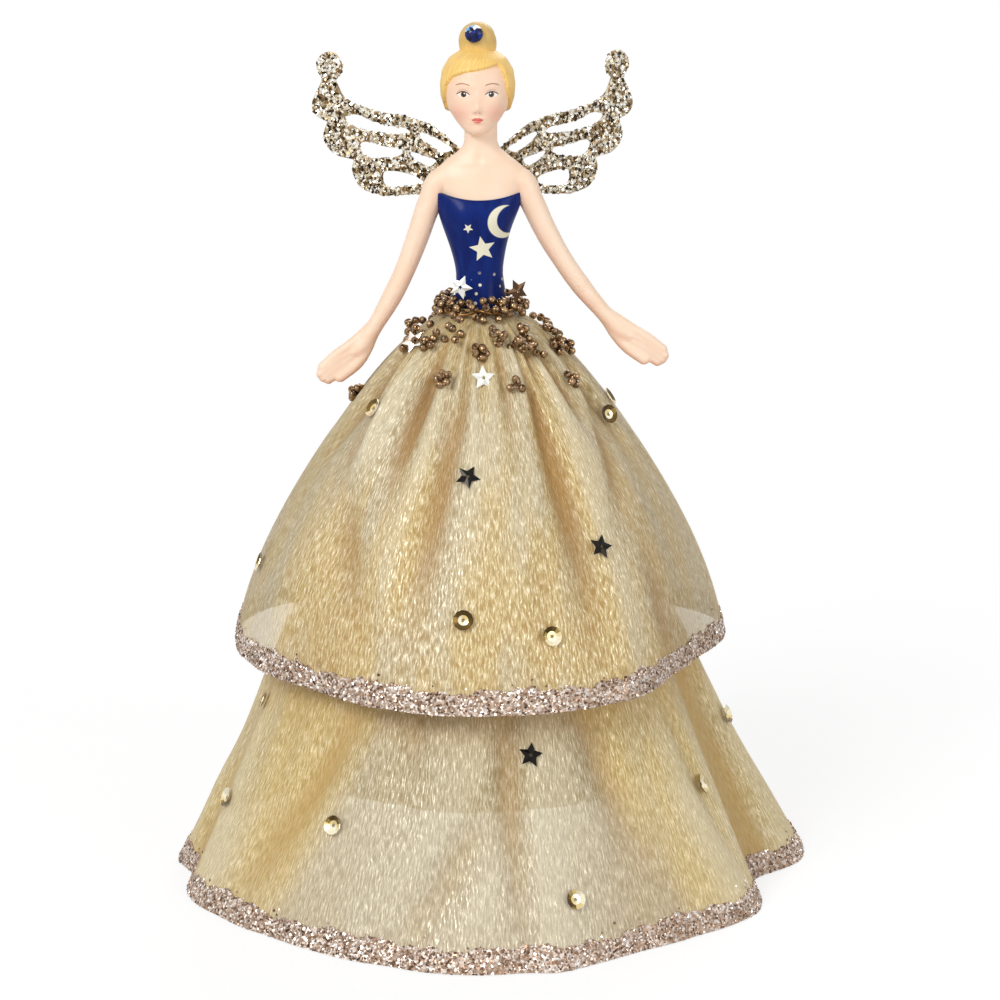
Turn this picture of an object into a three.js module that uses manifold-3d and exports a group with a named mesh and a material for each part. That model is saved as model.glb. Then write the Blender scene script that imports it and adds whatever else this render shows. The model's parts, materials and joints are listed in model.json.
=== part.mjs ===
// A tree-top fairy: a painted resin figure with cut-sheet wings, tied into a two-tier organza skirt
// over a lining and a rolled card cone. Millimetres, +Z up. The figure faces -Y and the lower hem
// stands on Z = 0. An azimuth is counted from the front, towards +X.
import * as THREE from "three";
import { mergeVertices } from "three/addons/utils/BufferGeometryUtils.js";
import Module from "manifold-3d";

const wasm = await Module();
wasm.setup();

// Driving dimensions of the skirts and the cone
const CLEARANCE = 0.3; // gap between pieces that touch
const WAIST_HEIGHT = 134; // table to the tie of the upper tier
const WAIST_RADIUS = 6.2; // the casting where the skirts are tied
const CLOTH = 0.6; // a layer of organza
const LAYER_GAP = 0.4; // between two layers at the tie
const GATHER = 0.6; // height of the small pleats below the tie
const UPPER_FLARE = 13; // lining's hem out to the upper hem
const UPPER_HEM_HEIGHT = 54;
const UPPER_HEM_FOLD = 6; // deepest fold of the upper hem
const TIER_EASE = 2; // upper hem's deepest fold to the lower tier
const LOWER_FLARE = 30.5; // lining's hem out to the lower hem
const LOWER_HEM_FOLD = 11; // deepest fold of the lower hem
const LINING_EASE = 4.5; // cone to the lining's hem
const LINING_OVERHANG = 1.5; // lining below the cone's rim
const LINING_FOLD = 1.6;
const HEM_BAND = 5.5; // width of the glitter trim
const HEM_TRIM = 0.5; // thickness of the glitter trim
const CARD = 0.8;
const CONE_BASE_RADIUS = 40;
const CONE_BASE_HEIGHT = 28;
const CONE_LAP = 24; // degrees of card lapped at the back seam

// Driving dimensions of the figure, with heights counted from the waist
const HIP_RADIUS = 8.8; // flange that rests on the cone
const HIP_DROP = 10; // waist to the flange's underside
const HIP_FLANGE = 1.8; // height of the flange's straight side
const PEG_LENGTH = 8;
const PEG_CHAMFER = 0.6;
const BODICE_TOP = 26.5;
const BODICE_EDGE = 0.4; // thickness of the painted bodice's edge
const BUST_HALF_WIDTH = 9.3;
const BUST_HALF_DEPTH = 6;
const SHOULDER_RISE = 5.1; // bodice's top edge to the shoulders
const SHOULDER_HALF_WIDTH = 10.6;
const SHOULDER_HALF_DEPTH = 4.4;
const CHIN_RISE = 9.6; // shoulders to chin
const NECK_SHOWN = 2; // straight part of the neck below the chin
const NECK_HALF_WIDTH = 3.8;
const NECK_HALF_DEPTH = 3.4;
const HEAD_HEIGHT = 19.6; // chin to crown, hair included
const HEAD_HALF_WIDTH = 7.9;
const HEAD_HALF_DEPTH = 7.5;
const HAIR = 0.7; // hair over the skull
const BUN_RADIUS = 4.4;
const BUN_RISE = 5.5; // crown to the top of the bun
const ARM_RADIUS = 2.7;
const WRIST_RADIUS = 2;
const HAND_HALF_WIDTH = 3.2;

// Driving dimensions of the wings and the trimmings
const WING_SPAN = 40; // bend to the outermost lobe
const WING_SHEET = 0.8;
const WING_ROOT_HEIGHT = 9.5;
const WING_ROOT_DROP = 0.6; // shoulders to the middle of the wing roots
const WING_TAB_WIDTH = 6;
const LEFT_WING_SWEEP = 26; // degrees each wing is bent back from the tab
const RIGHT_WING_SWEEP = 37;
const GEM_DIAMETER = 4.2;
const GEM_DEPTH = 1.8;
const GEM_RISE = 2.6; // crown to the middle of the stone
const BEAD_DIAMETER = 1.9;
const BEADED_BAND = 20; // height of the beaded top of the upper tier
const GARLAND_BEADS = 24;
const GARLAND_EASE = 0.95; // waist tie to the garland's beads
const WIRE_DIAMETER = 0.6;
const THREAD_DIAMETER = 0.8;
const SEQUIN_DIAMETER = 4;
const SEQUIN_CUP = 0.6; // depth of the cup
const SEQUIN_HOLE = 0.9;
const SEQUIN_FOIL = 0.3;
const STAR_DIAMETER = 5.6;

// Folds of the cloth: azimuth, share of the layer's deepest fold, half width in degrees, and where down
// the cloth it is deepest
const UPPER_FOLDS = [
  [-42, 0.583, 18, 1],
  [62, 1, 20, 1],
  [130, 0.833, 18, 1],
  [176, 0.75, 16, 1],
  [222, 0.833, 18, 1],
  [-90, 0.4, 8, 0.4],
  [-62, 0.267, 7, 0.35],
  [-36, 0.467, 9, 0.4],
  [-13, 0.233, 7, 0.3],
  [8, 0.267, 7, 0.3],
  [27, 0.533, 8, 0.4],
  [52, 0.333, 8, 0.35],
  [84, 0.433, 8, 0.4],
  [112, 0.367, 8, 0.35],
  [150, 0.433, 9, 0.4],
  [196, 0.4, 9, 0.4],
  [240, 0.4, 8, 0.35],
];
const LOWER_FOLDS = [
  [-79, 0.5, 7, 1],
  [-40, 0.6, 26, 1],
  [36, 0.56, 18, 1],
  [75, 0.95, 8.5, 1],
  [97, -0.05, 13, 1],
  [118, 0.727, 13, 1],
  [150, 0.545, 12, 1],
  [192, 0.545, 12, 1],
  [226, 0.818, 15, 1],
  [258, 0.545, 10, 1],
];
const LINING_FOLDS = [12, 52, 92, 132, 172, 212, 252, 292, 332].map((azimuth) => [azimuth, 1, 10, 1]);
const FOLD_FADE = 1.2; // how far a high fold has died away at the hem, in radians of a cosine
const SKIRT_STEPS = 72; // points round a tier
const SKIRT_ROWS = [0, 0.08, 0.2, 0.36, 0.54, 0.72, 0.87, 1];
const LINING_STEPS = 48;
const LINING_ROWS = [0, 0.1, 0.3, 0.55, 0.8, 1];
const PLEATS = 18; // small pleats round the tie

const PAINT = {
  skin: { color: 0xf5cdb4, roughness: 0.45, metalness: 0 },
  gem: { color: 0x14266e, roughness: 0.1, metalness: 0.2 },
  glitter: { color: 0xb9a27a, roughness: 0.35, metalness: 0.8 },
  rose: { color: 0xb08e7c, roughness: 0.4, metalness: 0.7 },
  card: { color: 0xd8cfbd, roughness: 0.9, metalness: 0 },
  lining: { color: 0xd9b25e, roughness: 0.5, metalness: 0.3 },
  organza: { color: 0xe3cf9a, roughness: 0.45, metalness: 0.3 },
  thread: { color: 0xc9a968, roughness: 0.8, metalness: 0 },
  bead: { color: 0x7a5526, roughness: 0.25, metalness: 0.8 },
  foil: { color: 0xd8c07a, roughness: 0.15, metalness: 0.9 },
  dark: { color: 0x3a2f14, roughness: 0.2, metalness: 0.8 },
  pale: { color: 0xf3ead0, roughness: 0.2, metalness: 0.6 },
};

// Shared helpers
function piece(name, geometry, paint) {
  geometry.computeVertexNormals();
  const mesh = new THREE.Mesh(geometry, new THREE.MeshStandardMaterial(PAINT[paint]));
  mesh.name = name;
  return mesh;
}

function geometryOf(points, triangles) {
  const geometry = new THREE.BufferGeometry();
  geometry.setAttribute("position", new THREE.Float32BufferAttribute(points, 3));
  geometry.setIndex(triangles);
  return geometry;
}

function solid(geometry) {
  const bare = geometry.clone();
  bare.deleteAttribute("normal");
  bare.deleteAttribute("uv");
  const merged = mergeVertices(bare, 1e-4);
  const vertProperties = new Float32Array(merged.attributes.position.array);
  const triVerts = new Uint32Array(merged.index.array);
  return new wasm.Manifold(new wasm.Mesh({ numProp: 3, vertProperties, triVerts }));
}

function join(geometries) {
  const fused = geometries.map(solid).reduce((whole, next) => whole.add(next));
  const mesh = fused.getMesh();
  return geometryOf(mesh.vertProperties, Array.from(mesh.triVerts));
}

// Quads between neighbouring rings of points that run the same way round
function skin(rings, closed) {
  const count = rings[0].length;
  const bands = closed ? rings.length : rings.length - 1;
  const triangles = [];
  for (let ring = 0; ring < bands; ring++) {
    const here = ring * count;
    const above = ((ring + 1) % rings.length) * count;
    for (let i = 0; i < count; i++) {
      const next = (i + 1) % count;
      triangles.push(here + i, here + next, above + next);
      triangles.push(here + i, above + next, above + i);
    }
  }
  return triangles;
}

// A solid lofted through rings, with a flat fan over each end
function loft(rings) {
  const count = rings[0].length;
  const points = rings.flat();
  const triangles = skin(rings, false);
  const ends = [rings[0], rings.at(-1)];
  ends.forEach((ring, end) => {
    const middle = ring.reduce((sum, point) => sum.clone().add(point)).divideScalar(count);
    const hub = points.push(middle) - 1;
    const start = end === 0 ? 0 : (rings.length - 1) * count;
    for (let i = 0; i < count; i++) {
      const edge = [start + i, start + ((i + 1) % count)];
      triangles.push(hub, ...(end === 0 ? edge.reverse() : edge));
    }
  });
  return geometryOf(points.flatMap((point) => point.toArray()), triangles);
}

// A ring-shaped solid, lofted through rings that come back to the first one
function band(rings) {
  return geometryOf(rings.flat().flatMap((point) => point.toArray()), skin(rings, true));
}

function ellipse(height, halfWidth, halfDepth, centreY, steps) {
  const ring = [];
  for (let i = 0; i < steps; i++) {
    const turn = (i / steps) * 2 * Math.PI;
    const x = halfWidth * Math.cos(turn);
    ring.push(new THREE.Vector3(x, centreY + halfDepth * Math.sin(turn), height));
  }
  return ring;
}

function outward(azimuth) {
  const turn = THREE.MathUtils.degToRad(azimuth);
  return new THREE.Vector3(Math.sin(turn), -Math.cos(turn), 0);
}

// A skirt layer falls in one curve: it springs out from the tie, passes a given point and ends at the hem
const PASS = 2 / 3; // where along the curve the given point lies
function fall(tie, springing, through, hem) {
  const spring = tie.clone().add(springing);
  const weights = [(1 - PASS) ** 3, 3 * PASS * (1 - PASS) ** 2, 3 * PASS ** 2 * (1 - PASS), PASS ** 3];
  const handle = through.clone();
  handle.addScaledVector(tie, -weights[0]);
  handle.addScaledVector(spring, -weights[1]);
  handle.addScaledVector(hem, -weights[3]);
  handle.divideScalar(weights[2]);
  return new THREE.CubicBezierCurve(tie, spring, handle, hem);
}

function point(radius, height) {
  return new THREE.Vector2(radius, height);
}

const TIE_RADIUS = WAIST_RADIUS + CLEARANCE + CLOTH / 2;
const LAYER_STEP = CLOTH + LAYER_GAP;
const upperTie = point(TIE_RADIUS, WAIST_HEIGHT);
const lowerTie = point(TIE_RADIUS, WAIST_HEIGHT - LAYER_STEP);
const liningTie = point(TIE_RADIUS, WAIST_HEIGHT - 2 * LAYER_STEP);
const LINING_HEM_RADIUS = CONE_BASE_RADIUS + LINING_EASE;
const LINING_HEM_HEIGHT = CONE_BASE_HEIGHT - LINING_OVERHANG;
const UPPER_HEM_RADIUS = LINING_HEM_RADIUS + UPPER_FLARE;
const UNDER_HEM_RADIUS = UPPER_HEM_RADIUS - UPPER_HEM_FOLD - TIER_EASE;
const LOWER_HEM_RADIUS = LINING_HEM_RADIUS + LOWER_FLARE;

// The first handle of each curve, from its tie: each layer springs out further than the one under it
const HIP_SPRING = 4.4;
const LOWER_SPREAD = 7;
const LOWER_DIP = 7;
const UPPER_SPREAD = 3;
const UPPER_DIP = 5;
const LINING_SPRING = point(HIP_RADIUS - WAIST_RADIUS + HIP_SPRING, 2 * LAYER_STEP - HIP_DROP);
const LOWER_SPRING = point(LINING_SPRING.x + LOWER_SPREAD, -LOWER_DIP);
const UPPER_SPRING = point(LOWER_SPRING.x + UPPER_SPREAD, -UPPER_DIP);

// A point in and up from a hem that the curve passes
const UPPER_SHOULDER_INSET = 10.5;
const UPPER_SHOULDER_RISE = 33;
const LINING_SHOULDER_INSET = 8;
const LINING_SHOULDER_RISE = 36;

const upperHem = point(UPPER_HEM_RADIUS, UPPER_HEM_HEIGHT);
const lowerHem = point(LOWER_HEM_RADIUS, 0);
const liningHem = point(LINING_HEM_RADIUS, LINING_HEM_HEIGHT);
const upperShoulder = upperHem.clone().add(point(-UPPER_SHOULDER_INSET, UPPER_SHOULDER_RISE));
const underUpperHem = point(UNDER_HEM_RADIUS, UPPER_HEM_HEIGHT);
const liningShoulder = liningHem.clone().add(point(-LINING_SHOULDER_INSET, LINING_SHOULDER_RISE));
const UPPER_TIER = {
  curve: fall(upperTie, UPPER_SPRING, upperShoulder, upperHem),
  deepest: UPPER_HEM_FOLD,
  folds: UPPER_FOLDS,
};
const LOWER_TIER = {
  curve: fall(lowerTie, LOWER_SPRING, underUpperHem, lowerHem),
  deepest: LOWER_HEM_FOLD,
  folds: LOWER_FOLDS,
};
const LINING = {
  curve: fall(liningTie, LINING_SPRING, liningShoulder, liningHem),
  deepest: LINING_FOLD,
  folds: LINING_FOLDS,
};

function foldDepth({ folds, deepest }, azimuth, share) {
  let depth = 0;
  for (const [middle, part, halfWidth, peak] of folds) {
    const away = THREE.MathUtils.euclideanModulo(azimuth - middle + 180, 360) - 180;
    const rise = (share / peak) ** 1.5;
    const fade = Math.cos(((share - peak) / (1 - peak)) * FOLD_FADE);
    depth += part * deepest * Math.exp(-((away / halfWidth) ** 2)) * (share <= peak ? rise : fade);
  }
  return depth;
}

function pleat(azimuth, share) {
  const swell = Math.sin(Math.PI * Math.min(1, share * 2));
  return GATHER * swell * Math.cos(THREE.MathUtils.degToRad(PLEATS * azimuth));
}

// One ring of a layer's face: share is the way down the curve, offset the way out from its middle
function clothRing(layer, share, offset, steps) {
  const middle = layer.curve.getPoint(share);
  const along = layer.curve.getTangent(share);
  const level = share === 1; // the hem is cut level
  const out = level ? point(1, 0) : point(-along.y, along.x);
  const ring = [];
  for (let i = 0; i < steps; i++) {
    const azimuth = (i / steps) * 360;
    const reach = offset + pleat(azimuth, share);
    const radius = middle.x - foldDepth(layer, azimuth, share) + reach * out.x;
    const place = outward(azimuth).multiplyScalar(radius);
    place.z = middle.y + reach * out.y;
    ring.push(place);
  }
  return ring;
}

// A layer of cloth between two faces, from the first share to the last
function clothBand(layer, rows, inner, outer, steps) {
  const outerRings = rows.map((share) => clothRing(layer, share, outer, steps)).reverse();
  const innerRings = rows.map((share) => clothRing(layer, share, inner, steps));
  return band([...outerRings, ...innerRings]);
}

// The glitter trim lies on the outside of a tier, just above its cut edge
function hemTrim(layer) {
  const edge = layer.curve.getLength() - CLEARANCE;
  const bottom = layer.curve.getUtoTmapping(0, edge);
  const top = layer.curve.getUtoTmapping(0, edge - HEM_BAND);
  const inner = CLOTH / 2 + CLEARANCE;
  return clothBand(layer, [top, (top + bottom) / 2, bottom], inner, inner + HEM_TRIM, SKIRT_STEPS);
}

// The cone is one strip of card rolled past a full turn, so its end laps over its start
const CONE_TOP_HEIGHT = WAIST_HEIGHT - HIP_DROP - CLEARANCE;
const CONE_TOP_RADIUS = HIP_RADIUS + CLEARANCE;
const CONE_STEPS = 40;
function cardCone() {
  const total = 360 + CONE_LAP;
  const corners = [
    [CONE_BASE_RADIUS, CONE_BASE_HEIGHT],
    [CONE_TOP_RADIUS, CONE_TOP_HEIGHT],
    [CONE_TOP_RADIUS - CARD, CONE_TOP_HEIGHT],
    [CONE_BASE_RADIUS - CARD, CONE_BASE_HEIGHT],
  ];
  const rings = [];
  for (let i = 0; i <= CONE_STEPS; i++) {
    const turned = (i / CONE_STEPS) * total;
    const climb = ((CARD + CLEARANCE) * turned) / 360;
    const direction = outward(180 - CONE_LAP / 2 - turned);
    rings.push(
      corners.map(([radius, height]) => direction.clone().multiplyScalar(radius + climb).setZ(height)),
    );
  }
  return loft(rings);
}

// The figure, with heights counted from the waist
const SHOULDER_HEIGHT = BODICE_TOP + SHOULDER_RISE;
const CHIN_HEIGHT = SHOULDER_HEIGHT + CHIN_RISE;
const CROWN_HEIGHT = CHIN_HEIGHT + HEAD_HEIGHT;
const BODY_STEPS = 20;
const PEG_RADIUS = CONE_TOP_RADIUS - CARD - 2 * CLEARANCE;
const PEG_END = -HIP_DROP - PEG_LENGTH;
const NECK_ROOT = 5; // how far the neck runs up inside the head
function torso() {
  const bodice = (share) => share * BODICE_TOP;
  const chest = (share) => BODICE_TOP + share * SHOULDER_RISE;
  const slope = (share) => SHOULDER_HEIGHT + share * (CHIN_RISE - NECK_SHOWN);
  const sections = [
    [PEG_END, PEG_RADIUS - PEG_CHAMFER, PEG_RADIUS - PEG_CHAMFER, 0],
    [PEG_END + 2 * PEG_CHAMFER, PEG_RADIUS, PEG_RADIUS, 0],
    [-HIP_DROP, PEG_RADIUS, PEG_RADIUS, 0],
    [-HIP_DROP, HIP_RADIUS, HIP_RADIUS, 0],
    [HIP_FLANGE - HIP_DROP, HIP_RADIUS, HIP_RADIUS, 0],
    [-HIP_DROP * 0.35, WAIST_RADIUS, WAIST_RADIUS, 0],
    [bodice(0.06), WAIST_RADIUS, WAIST_RADIUS - 0.4, 0],
    [bodice(0.33), WAIST_RADIUS - 0.55, WAIST_RADIUS - 1.3, 0],
    [bodice(0.55), WAIST_RADIUS + 0.5, BUST_HALF_DEPTH - 0.7, -0.1],
    [bodice(0.76), BUST_HALF_WIDTH - 1.1, BUST_HALF_DEPTH, -0.5],
    [bodice(0.91), BUST_HALF_WIDTH, BUST_HALF_DEPTH, -0.6],
    [BODICE_TOP, BUST_HALF_WIDTH + 0.4, BUST_HALF_DEPTH - 0.5, -0.4],
    [BODICE_TOP, BUST_HALF_WIDTH + 0.4 - BODICE_EDGE, BUST_HALF_DEPTH - 0.5 - BODICE_EDGE, -0.4],
    [chest(0.57), SHOULDER_HALF_WIDTH - 0.6, SHOULDER_HALF_DEPTH + 0.4, -0.1],
    [SHOULDER_HEIGHT, SHOULDER_HALF_WIDTH, SHOULDER_HALF_DEPTH, 0],
    [slope(0.21), SHOULDER_HALF_WIDTH - 0.6, SHOULDER_HALF_DEPTH - 0.4, 0.1],
    [slope(0.42), SHOULDER_HALF_WIDTH - 2.4, SHOULDER_HALF_DEPTH - 0.6, 0.2],
    [slope(0.63), NECK_HALF_WIDTH + 2.2, NECK_HALF_DEPTH + 0.2, 0.3],
    [slope(0.82), NECK_HALF_WIDTH + 0.6, NECK_HALF_DEPTH, 0.4],
    [slope(1), NECK_HALF_WIDTH, NECK_HALF_DEPTH, 0.4],
    [CHIN_HEIGHT + NECK_ROOT, NECK_HALF_WIDTH, NECK_HALF_DEPTH, 0.4],
  ];
  return loft(sections.map((section) => ellipse(...section, BODY_STEPS)));
}

// An arm runs from its shoulder to its fingertips, bowed in towards the body: share of the way and of
// the whole bow
const LEFT_FINGERTIPS = [-37.3, -2.2, -15.4];
const RIGHT_FINGERTIPS = [42.7, -2.2, -11];
const LEFT_BOW = 5.4;
const RIGHT_BOW = -5.8;
const LEFT_BOW_SHARES = [
  [0, 0],
  [0.11, 0.11],
  [0.3, 0.52],
  [0.46, 0.83],
  [0.63, 1],
  [0.79, 0.98],
  [0.93, 0.74],
  [1, 0],
];
const RIGHT_BOW_SHARES = [
  [0, 0],
  [0.13, 0.28],
  [0.35, 0.79],
  [0.54, 1],
  [0.69, 1],
  [0.81, 0.91],
  [0.94, 0.6],
  [1, 0],
];
const ARM_ROOT_INSET = 1.4; // shoulder's side to the arm's root
const ARM_ROOT_DROP = 1.2; // shoulder's height to the arm's root
function armRoute(fingertips, bow, shares) {
  const tips = new THREE.Vector3(...fingertips);
  const rootX = Math.sign(tips.x) * (SHOULDER_HALF_WIDTH - ARM_ROOT_INSET);
  const root = new THREE.Vector3(rootX, 0, SHOULDER_HEIGHT - ARM_ROOT_DROP);
  return shares.map(([along, part]) => {
    const place = root.clone().lerp(tips, along);
    place.x += part * bow;
    return place;
  });
}
const LEFT_ARM = armRoute(LEFT_FINGERTIPS, LEFT_BOW, LEFT_BOW_SHARES);
const RIGHT_ARM = armRoute(RIGHT_FINGERTIPS, RIGHT_BOW, RIGHT_BOW_SHARES);

// Sections give the share of the way along, a half width and a half thickness
const ARM_STEPS = 10;
const ARM_SECTIONS = [
  [0, ARM_RADIUS, ARM_RADIUS],
  [0.12, ARM_RADIUS + 0.1, ARM_RADIUS],
  [0.3, ARM_RADIUS, ARM_RADIUS - 0.1],
  [0.44, ARM_RADIUS - 0.3, ARM_RADIUS - 0.4],
  [0.58, ARM_RADIUS - 0.3, ARM_RADIUS - 0.4],
  [0.72, WRIST_RADIUS, WRIST_RADIUS - 0.1],
  [0.82, HAND_HALF_WIDTH - 0.5, 1.6],
  [0.9, HAND_HALF_WIDTH - 0.6, 1.5],
  [0.97, HAND_HALF_WIDTH - 1, 1.2],
  [1, HAND_HALF_WIDTH - 1.9, 0.7],
];
const FRONT = new THREE.Vector3(0, -1, 0);
function limb(route, sections, steps) {
  const path = new THREE.CatmullRomCurve3(route);
  return loft(
    sections.map(([along, halfWidth, halfThickness]) => {
      const centre = path.getPointAt(along);
      const heading = path.getTangentAt(along);
      const side = FRONT.clone().cross(heading).normalize();
      const depth = heading.clone().cross(side);
      const ring = [];
      for (let i = 0; i < steps; i++) {
        const turn = (i / steps) * 2 * Math.PI;
        const spot = centre.clone().addScaledVector(side, halfWidth * Math.cos(turn));
        ring.push(spot.addScaledVector(depth, halfThickness * Math.sin(turn)));
      }
      return ring;
    }),
  );
}

// The thumb lies along the hand on the side towards the skirt, with its tip free
const THUMB_SECTIONS = [
  [0, 0.9, 0.9],
  [0.5, 1.2, 1],
  [0.9, 1, 0.8],
  [1, 0.5, 0.4],
];
function thumb(route) {
  const [wrist, palm, tip] = route.slice(-3);
  const root = wrist.clone().lerp(palm, 0.6);
  const end = palm.clone().lerp(tip, 0.25);
  end.z -= HAND_HALF_WIDTH + 0.3;
  end.y += FRONT.y * 0.8;
  const bend = root.clone().lerp(end, 0.5);
  bend.z -= 0.4;
  return limb([root, bend, end], THUMB_SECTIONS, 6);
}

// The head narrows to the chin: share of its height, of its half width and half depth, and centre
const HEAD_STEPS = 16;
const HEAD_SECTIONS = [
  [0, 0.21, 0.21, -3.8],
  [0.07, 0.44, 0.49, -2.4],
  [0.16, 0.63, 0.71, -1.4],
  [0.3, 0.86, 0.88, -0.5],
  [0.45, 0.98, 0.96, 0],
  [0.6, 1, 1, 0.3],
  [0.76, 0.94, 0.96, 0.5],
  [0.88, 0.76, 0.77, 0.6],
  [0.96, 0.46, 0.47, 0.7],
  [1, 0.13, 0.13, 0.7],
];

// The hair lies over the skull from the brow back
const HAIR_SECTIONS = [
  [0.14, 0.26, 0.17, 4.6],
  [0.22, 0.54, 0.34, 4.2],
  [0.32, 0.8, 0.51, 3.6],
  [0.45, 0.97, 0.68, 2.8],
  [0.6, 1, 0.87, 1.6],
  [0.75, 0.96, 0.98, 0.7],
  [0.88, 0.78, 0.82, 0.6],
  [0.96, 0.5, 0.53, 0.7],
  [1, 0.16, 0.17, 0.7],
];
function skull(sections, height, halfWidth, halfDepth) {
  return loft(
    sections.map(([share, wide, deep, centreY]) =>
      ellipse(CHIN_HEIGHT + share * height, wide * halfWidth, deep * halfDepth, centreY, HEAD_STEPS),
    ),
  );
}

const BUN_CENTRE_Y = 1.2;
const BUN_STEPS = 14;
const BUN_ROOT = 3; // depth of the bun's foot in the hair
function bun() {
  const root = CROWN_HEIGHT - BUN_ROOT;
  const height = BUN_RISE + BUN_ROOT;
  const sections = [
    [0, BUN_RADIUS - 0.6],
    [0.35, BUN_RADIUS - 0.1],
    [0.58, BUN_RADIUS],
    [0.8, BUN_RADIUS - 0.8],
    [0.94, BUN_RADIUS - 2.2],
    [1, BUN_RADIUS - 3.6],
  ];
  return loft(
    sections.map(([share, radius]) =>
      ellipse(root + share * height, radius, radius, BUN_CENTRE_Y, BUN_STEPS),
    ),
  );
}

const NOSE_BRIDGE = 9; // chin to the top of the nose
const NOSE_LENGTH = 3.4;
function nose() {
  const bridge = CHIN_HEIGHT + NOSE_BRIDGE;
  const face = 0.5 - HEAD_HALF_DEPTH;
  const sections = [
    [bridge - NOSE_LENGTH, 0.5, 0.5, face + 0.1],
    [bridge - NOSE_LENGTH + 0.5, 0.8, 0.9, face - 0.1],
    [bridge, 0.4, 0.5, face],
  ];
  return loft(sections.map((section) => ellipse(...section, 6)));
}

function figureCasting() {
  const arms = [LEFT_ARM, RIGHT_ARM].map((route) => limb(route, ARM_SECTIONS, ARM_STEPS));
  const thumbs = [LEFT_ARM, RIGHT_ARM].map(thumb);
  const head = skull(HEAD_SECTIONS, HEAD_HEIGHT - HAIR, HEAD_HALF_WIDTH, HEAD_HALF_DEPTH);
  const hair = skull(HAIR_SECTIONS, HEAD_HEIGHT, HEAD_HALF_WIDTH + HAIR, HEAD_HALF_DEPTH + HAIR);
  return join([torso(), ...arms, ...thumbs, head, hair, bun(), nose()]);
}

// A flat-backed stone: pavilion side on the bun, eight crown facets and a table in front
function gem() {
  const radius = GEM_DIAMETER / 2;
  const profile = [
    point(0, 0),
    point(radius * 0.8, 0),
    point(radius, GEM_DEPTH * 0.4),
    point(radius * 0.55, GEM_DEPTH),
    point(0, GEM_DEPTH),
  ];
  return new THREE.LatheGeometry(profile, 8).rotateX(Math.PI / 2);
}

// Soft sheet metal cut to an outline, stood upright with its middle at y = 0
function cutSheet(shape) {
  const settings = { depth: WING_SHEET, bevelEnabled: false, curveSegments: 3 };
  return new THREE.ExtrudeGeometry(shape, settings).translate(0, 0, -WING_SHEET / 2).rotateX(Math.PI / 2);
}

// A wing in its own plane, in shares of its span: x runs out from the bend, y up from mid-root
const TIP_BALL = 3.3; // radius of the ball at the wing's tip
const WING_HOLES = [
  [[0.8, 0.288], [0.74, 0.306], [0.69, 0.302], [0.62, 0.276], [0.5, 0.256], [0.4, 0.244], [0.365, 0.218],
    [0.44, 0.202], [0.56, 0.206], [0.68, 0.219], [0.765, 0.248]],
  [[0.31, 0.205], [0.285, 0.223], [0.2, 0.2], [0.12, 0.163], [0.09, 0.137], [0.14, 0.115], [0.19, 0.126],
    [0.25, 0.156]],
  [[0.705, 0.125], [0.675, 0.149], [0.6, 0.146], [0.5, 0.129], [0.43, 0.122], [0.415, 0.1], [0.45, 0.076],
    [0.54, 0.061], [0.635, 0.056], [0.688, 0.085]],
  [[0.372, 0.098], [0.34, 0.106], [0.25, 0.086], [0.198, 0.066], [0.235, 0.03], [0.29, 0.04], [0.35, 0.07]],
  [[0.552, -0.06], [0.542, -0.02], [0.47, -0.011], [0.4, -0.018], [0.33, -0.034], [0.3, -0.058],
    [0.335, -0.088], [0.42, -0.103], [0.5, -0.108], [0.54, -0.095]],
];
function opening(places) {
  const [start, ...others] = places.map(([x, y]) => point(x * WING_SPAN, y * WING_SPAN));
  const path = new THREE.Path();
  path.moveTo(start.x, start.y);
  path.splineThru([...others, start]);
  return path;
}

function wing() {
  const half = WING_ROOT_HEIGHT / 2;
  const shape = new THREE.Shape();
  const lobe = (places) => shape.splineThru(places.map(([x, y]) => point(x * WING_SPAN, y * WING_SPAN)));
  shape.moveTo(CLEARANCE, -half);
  lobe([[0.15, -0.104], [0.325, -0.137], [0.55, -0.162]]);
  lobe([[0.69, -0.125], [0.75, -0.03], [0.74, 0.04]]);
  lobe([[0.87, 0.068], [0.942, 0.155], [0.915, 0.255]]);
  lobe([[0.995, 0.292], [1.015, 0.365], [0.95, 0.49]]);
  shape.absarc(0.9 * WING_SPAN, 0.58 * WING_SPAN, TIP_BALL, -0.9, Math.PI + 1, false);
  lobe([[0.86, 0.5], [0.81, 0.41], [0.725, 0.365]]);
  lobe([[0.56, 0.328], [0.4, 0.312], [0.255, 0.275], [0.13, 0.205]]);
  shape.lineTo(CLEARANCE, half);
  shape.holes = WING_HOLES.map(opening);
  return cutSheet(shape);
}

function wingTab() {
  const half = WING_TAB_WIDTH / 2;
  const height = WING_ROOT_HEIGHT / 2;
  const corner = 1;
  const shape = new THREE.Shape();
  shape.moveTo(-half, -height);
  shape.lineTo(half, -height);
  shape.lineTo(half, height - corner);
  shape.quadraticCurveTo(half, height, half - corner, height);
  shape.lineTo(corner - half, height);
  shape.quadraticCurveTo(-half, height, -half, height - corner);
  return cutSheet(shape);
}

// Trimmings, each made with its back at z = 0 and its face towards +Z
function bead(x, y, z) {
  return new THREE.SphereGeometry(BEAD_DIAMETER / 2, 6, 4).translate(x, y, z);
}

function beadCluster(count) {
  const spread = BEAD_DIAMETER * 0.46;
  const radius = spread / Math.sin(Math.PI / count);
  const beads = [];
  for (let i = 0; i < count; i++) {
    const turn = (i / count) * 2 * Math.PI;
    beads.push(bead(radius * Math.cos(turn), radius * Math.sin(turn), BEAD_DIAMETER / 2));
  }
  return join(beads);
}

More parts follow.
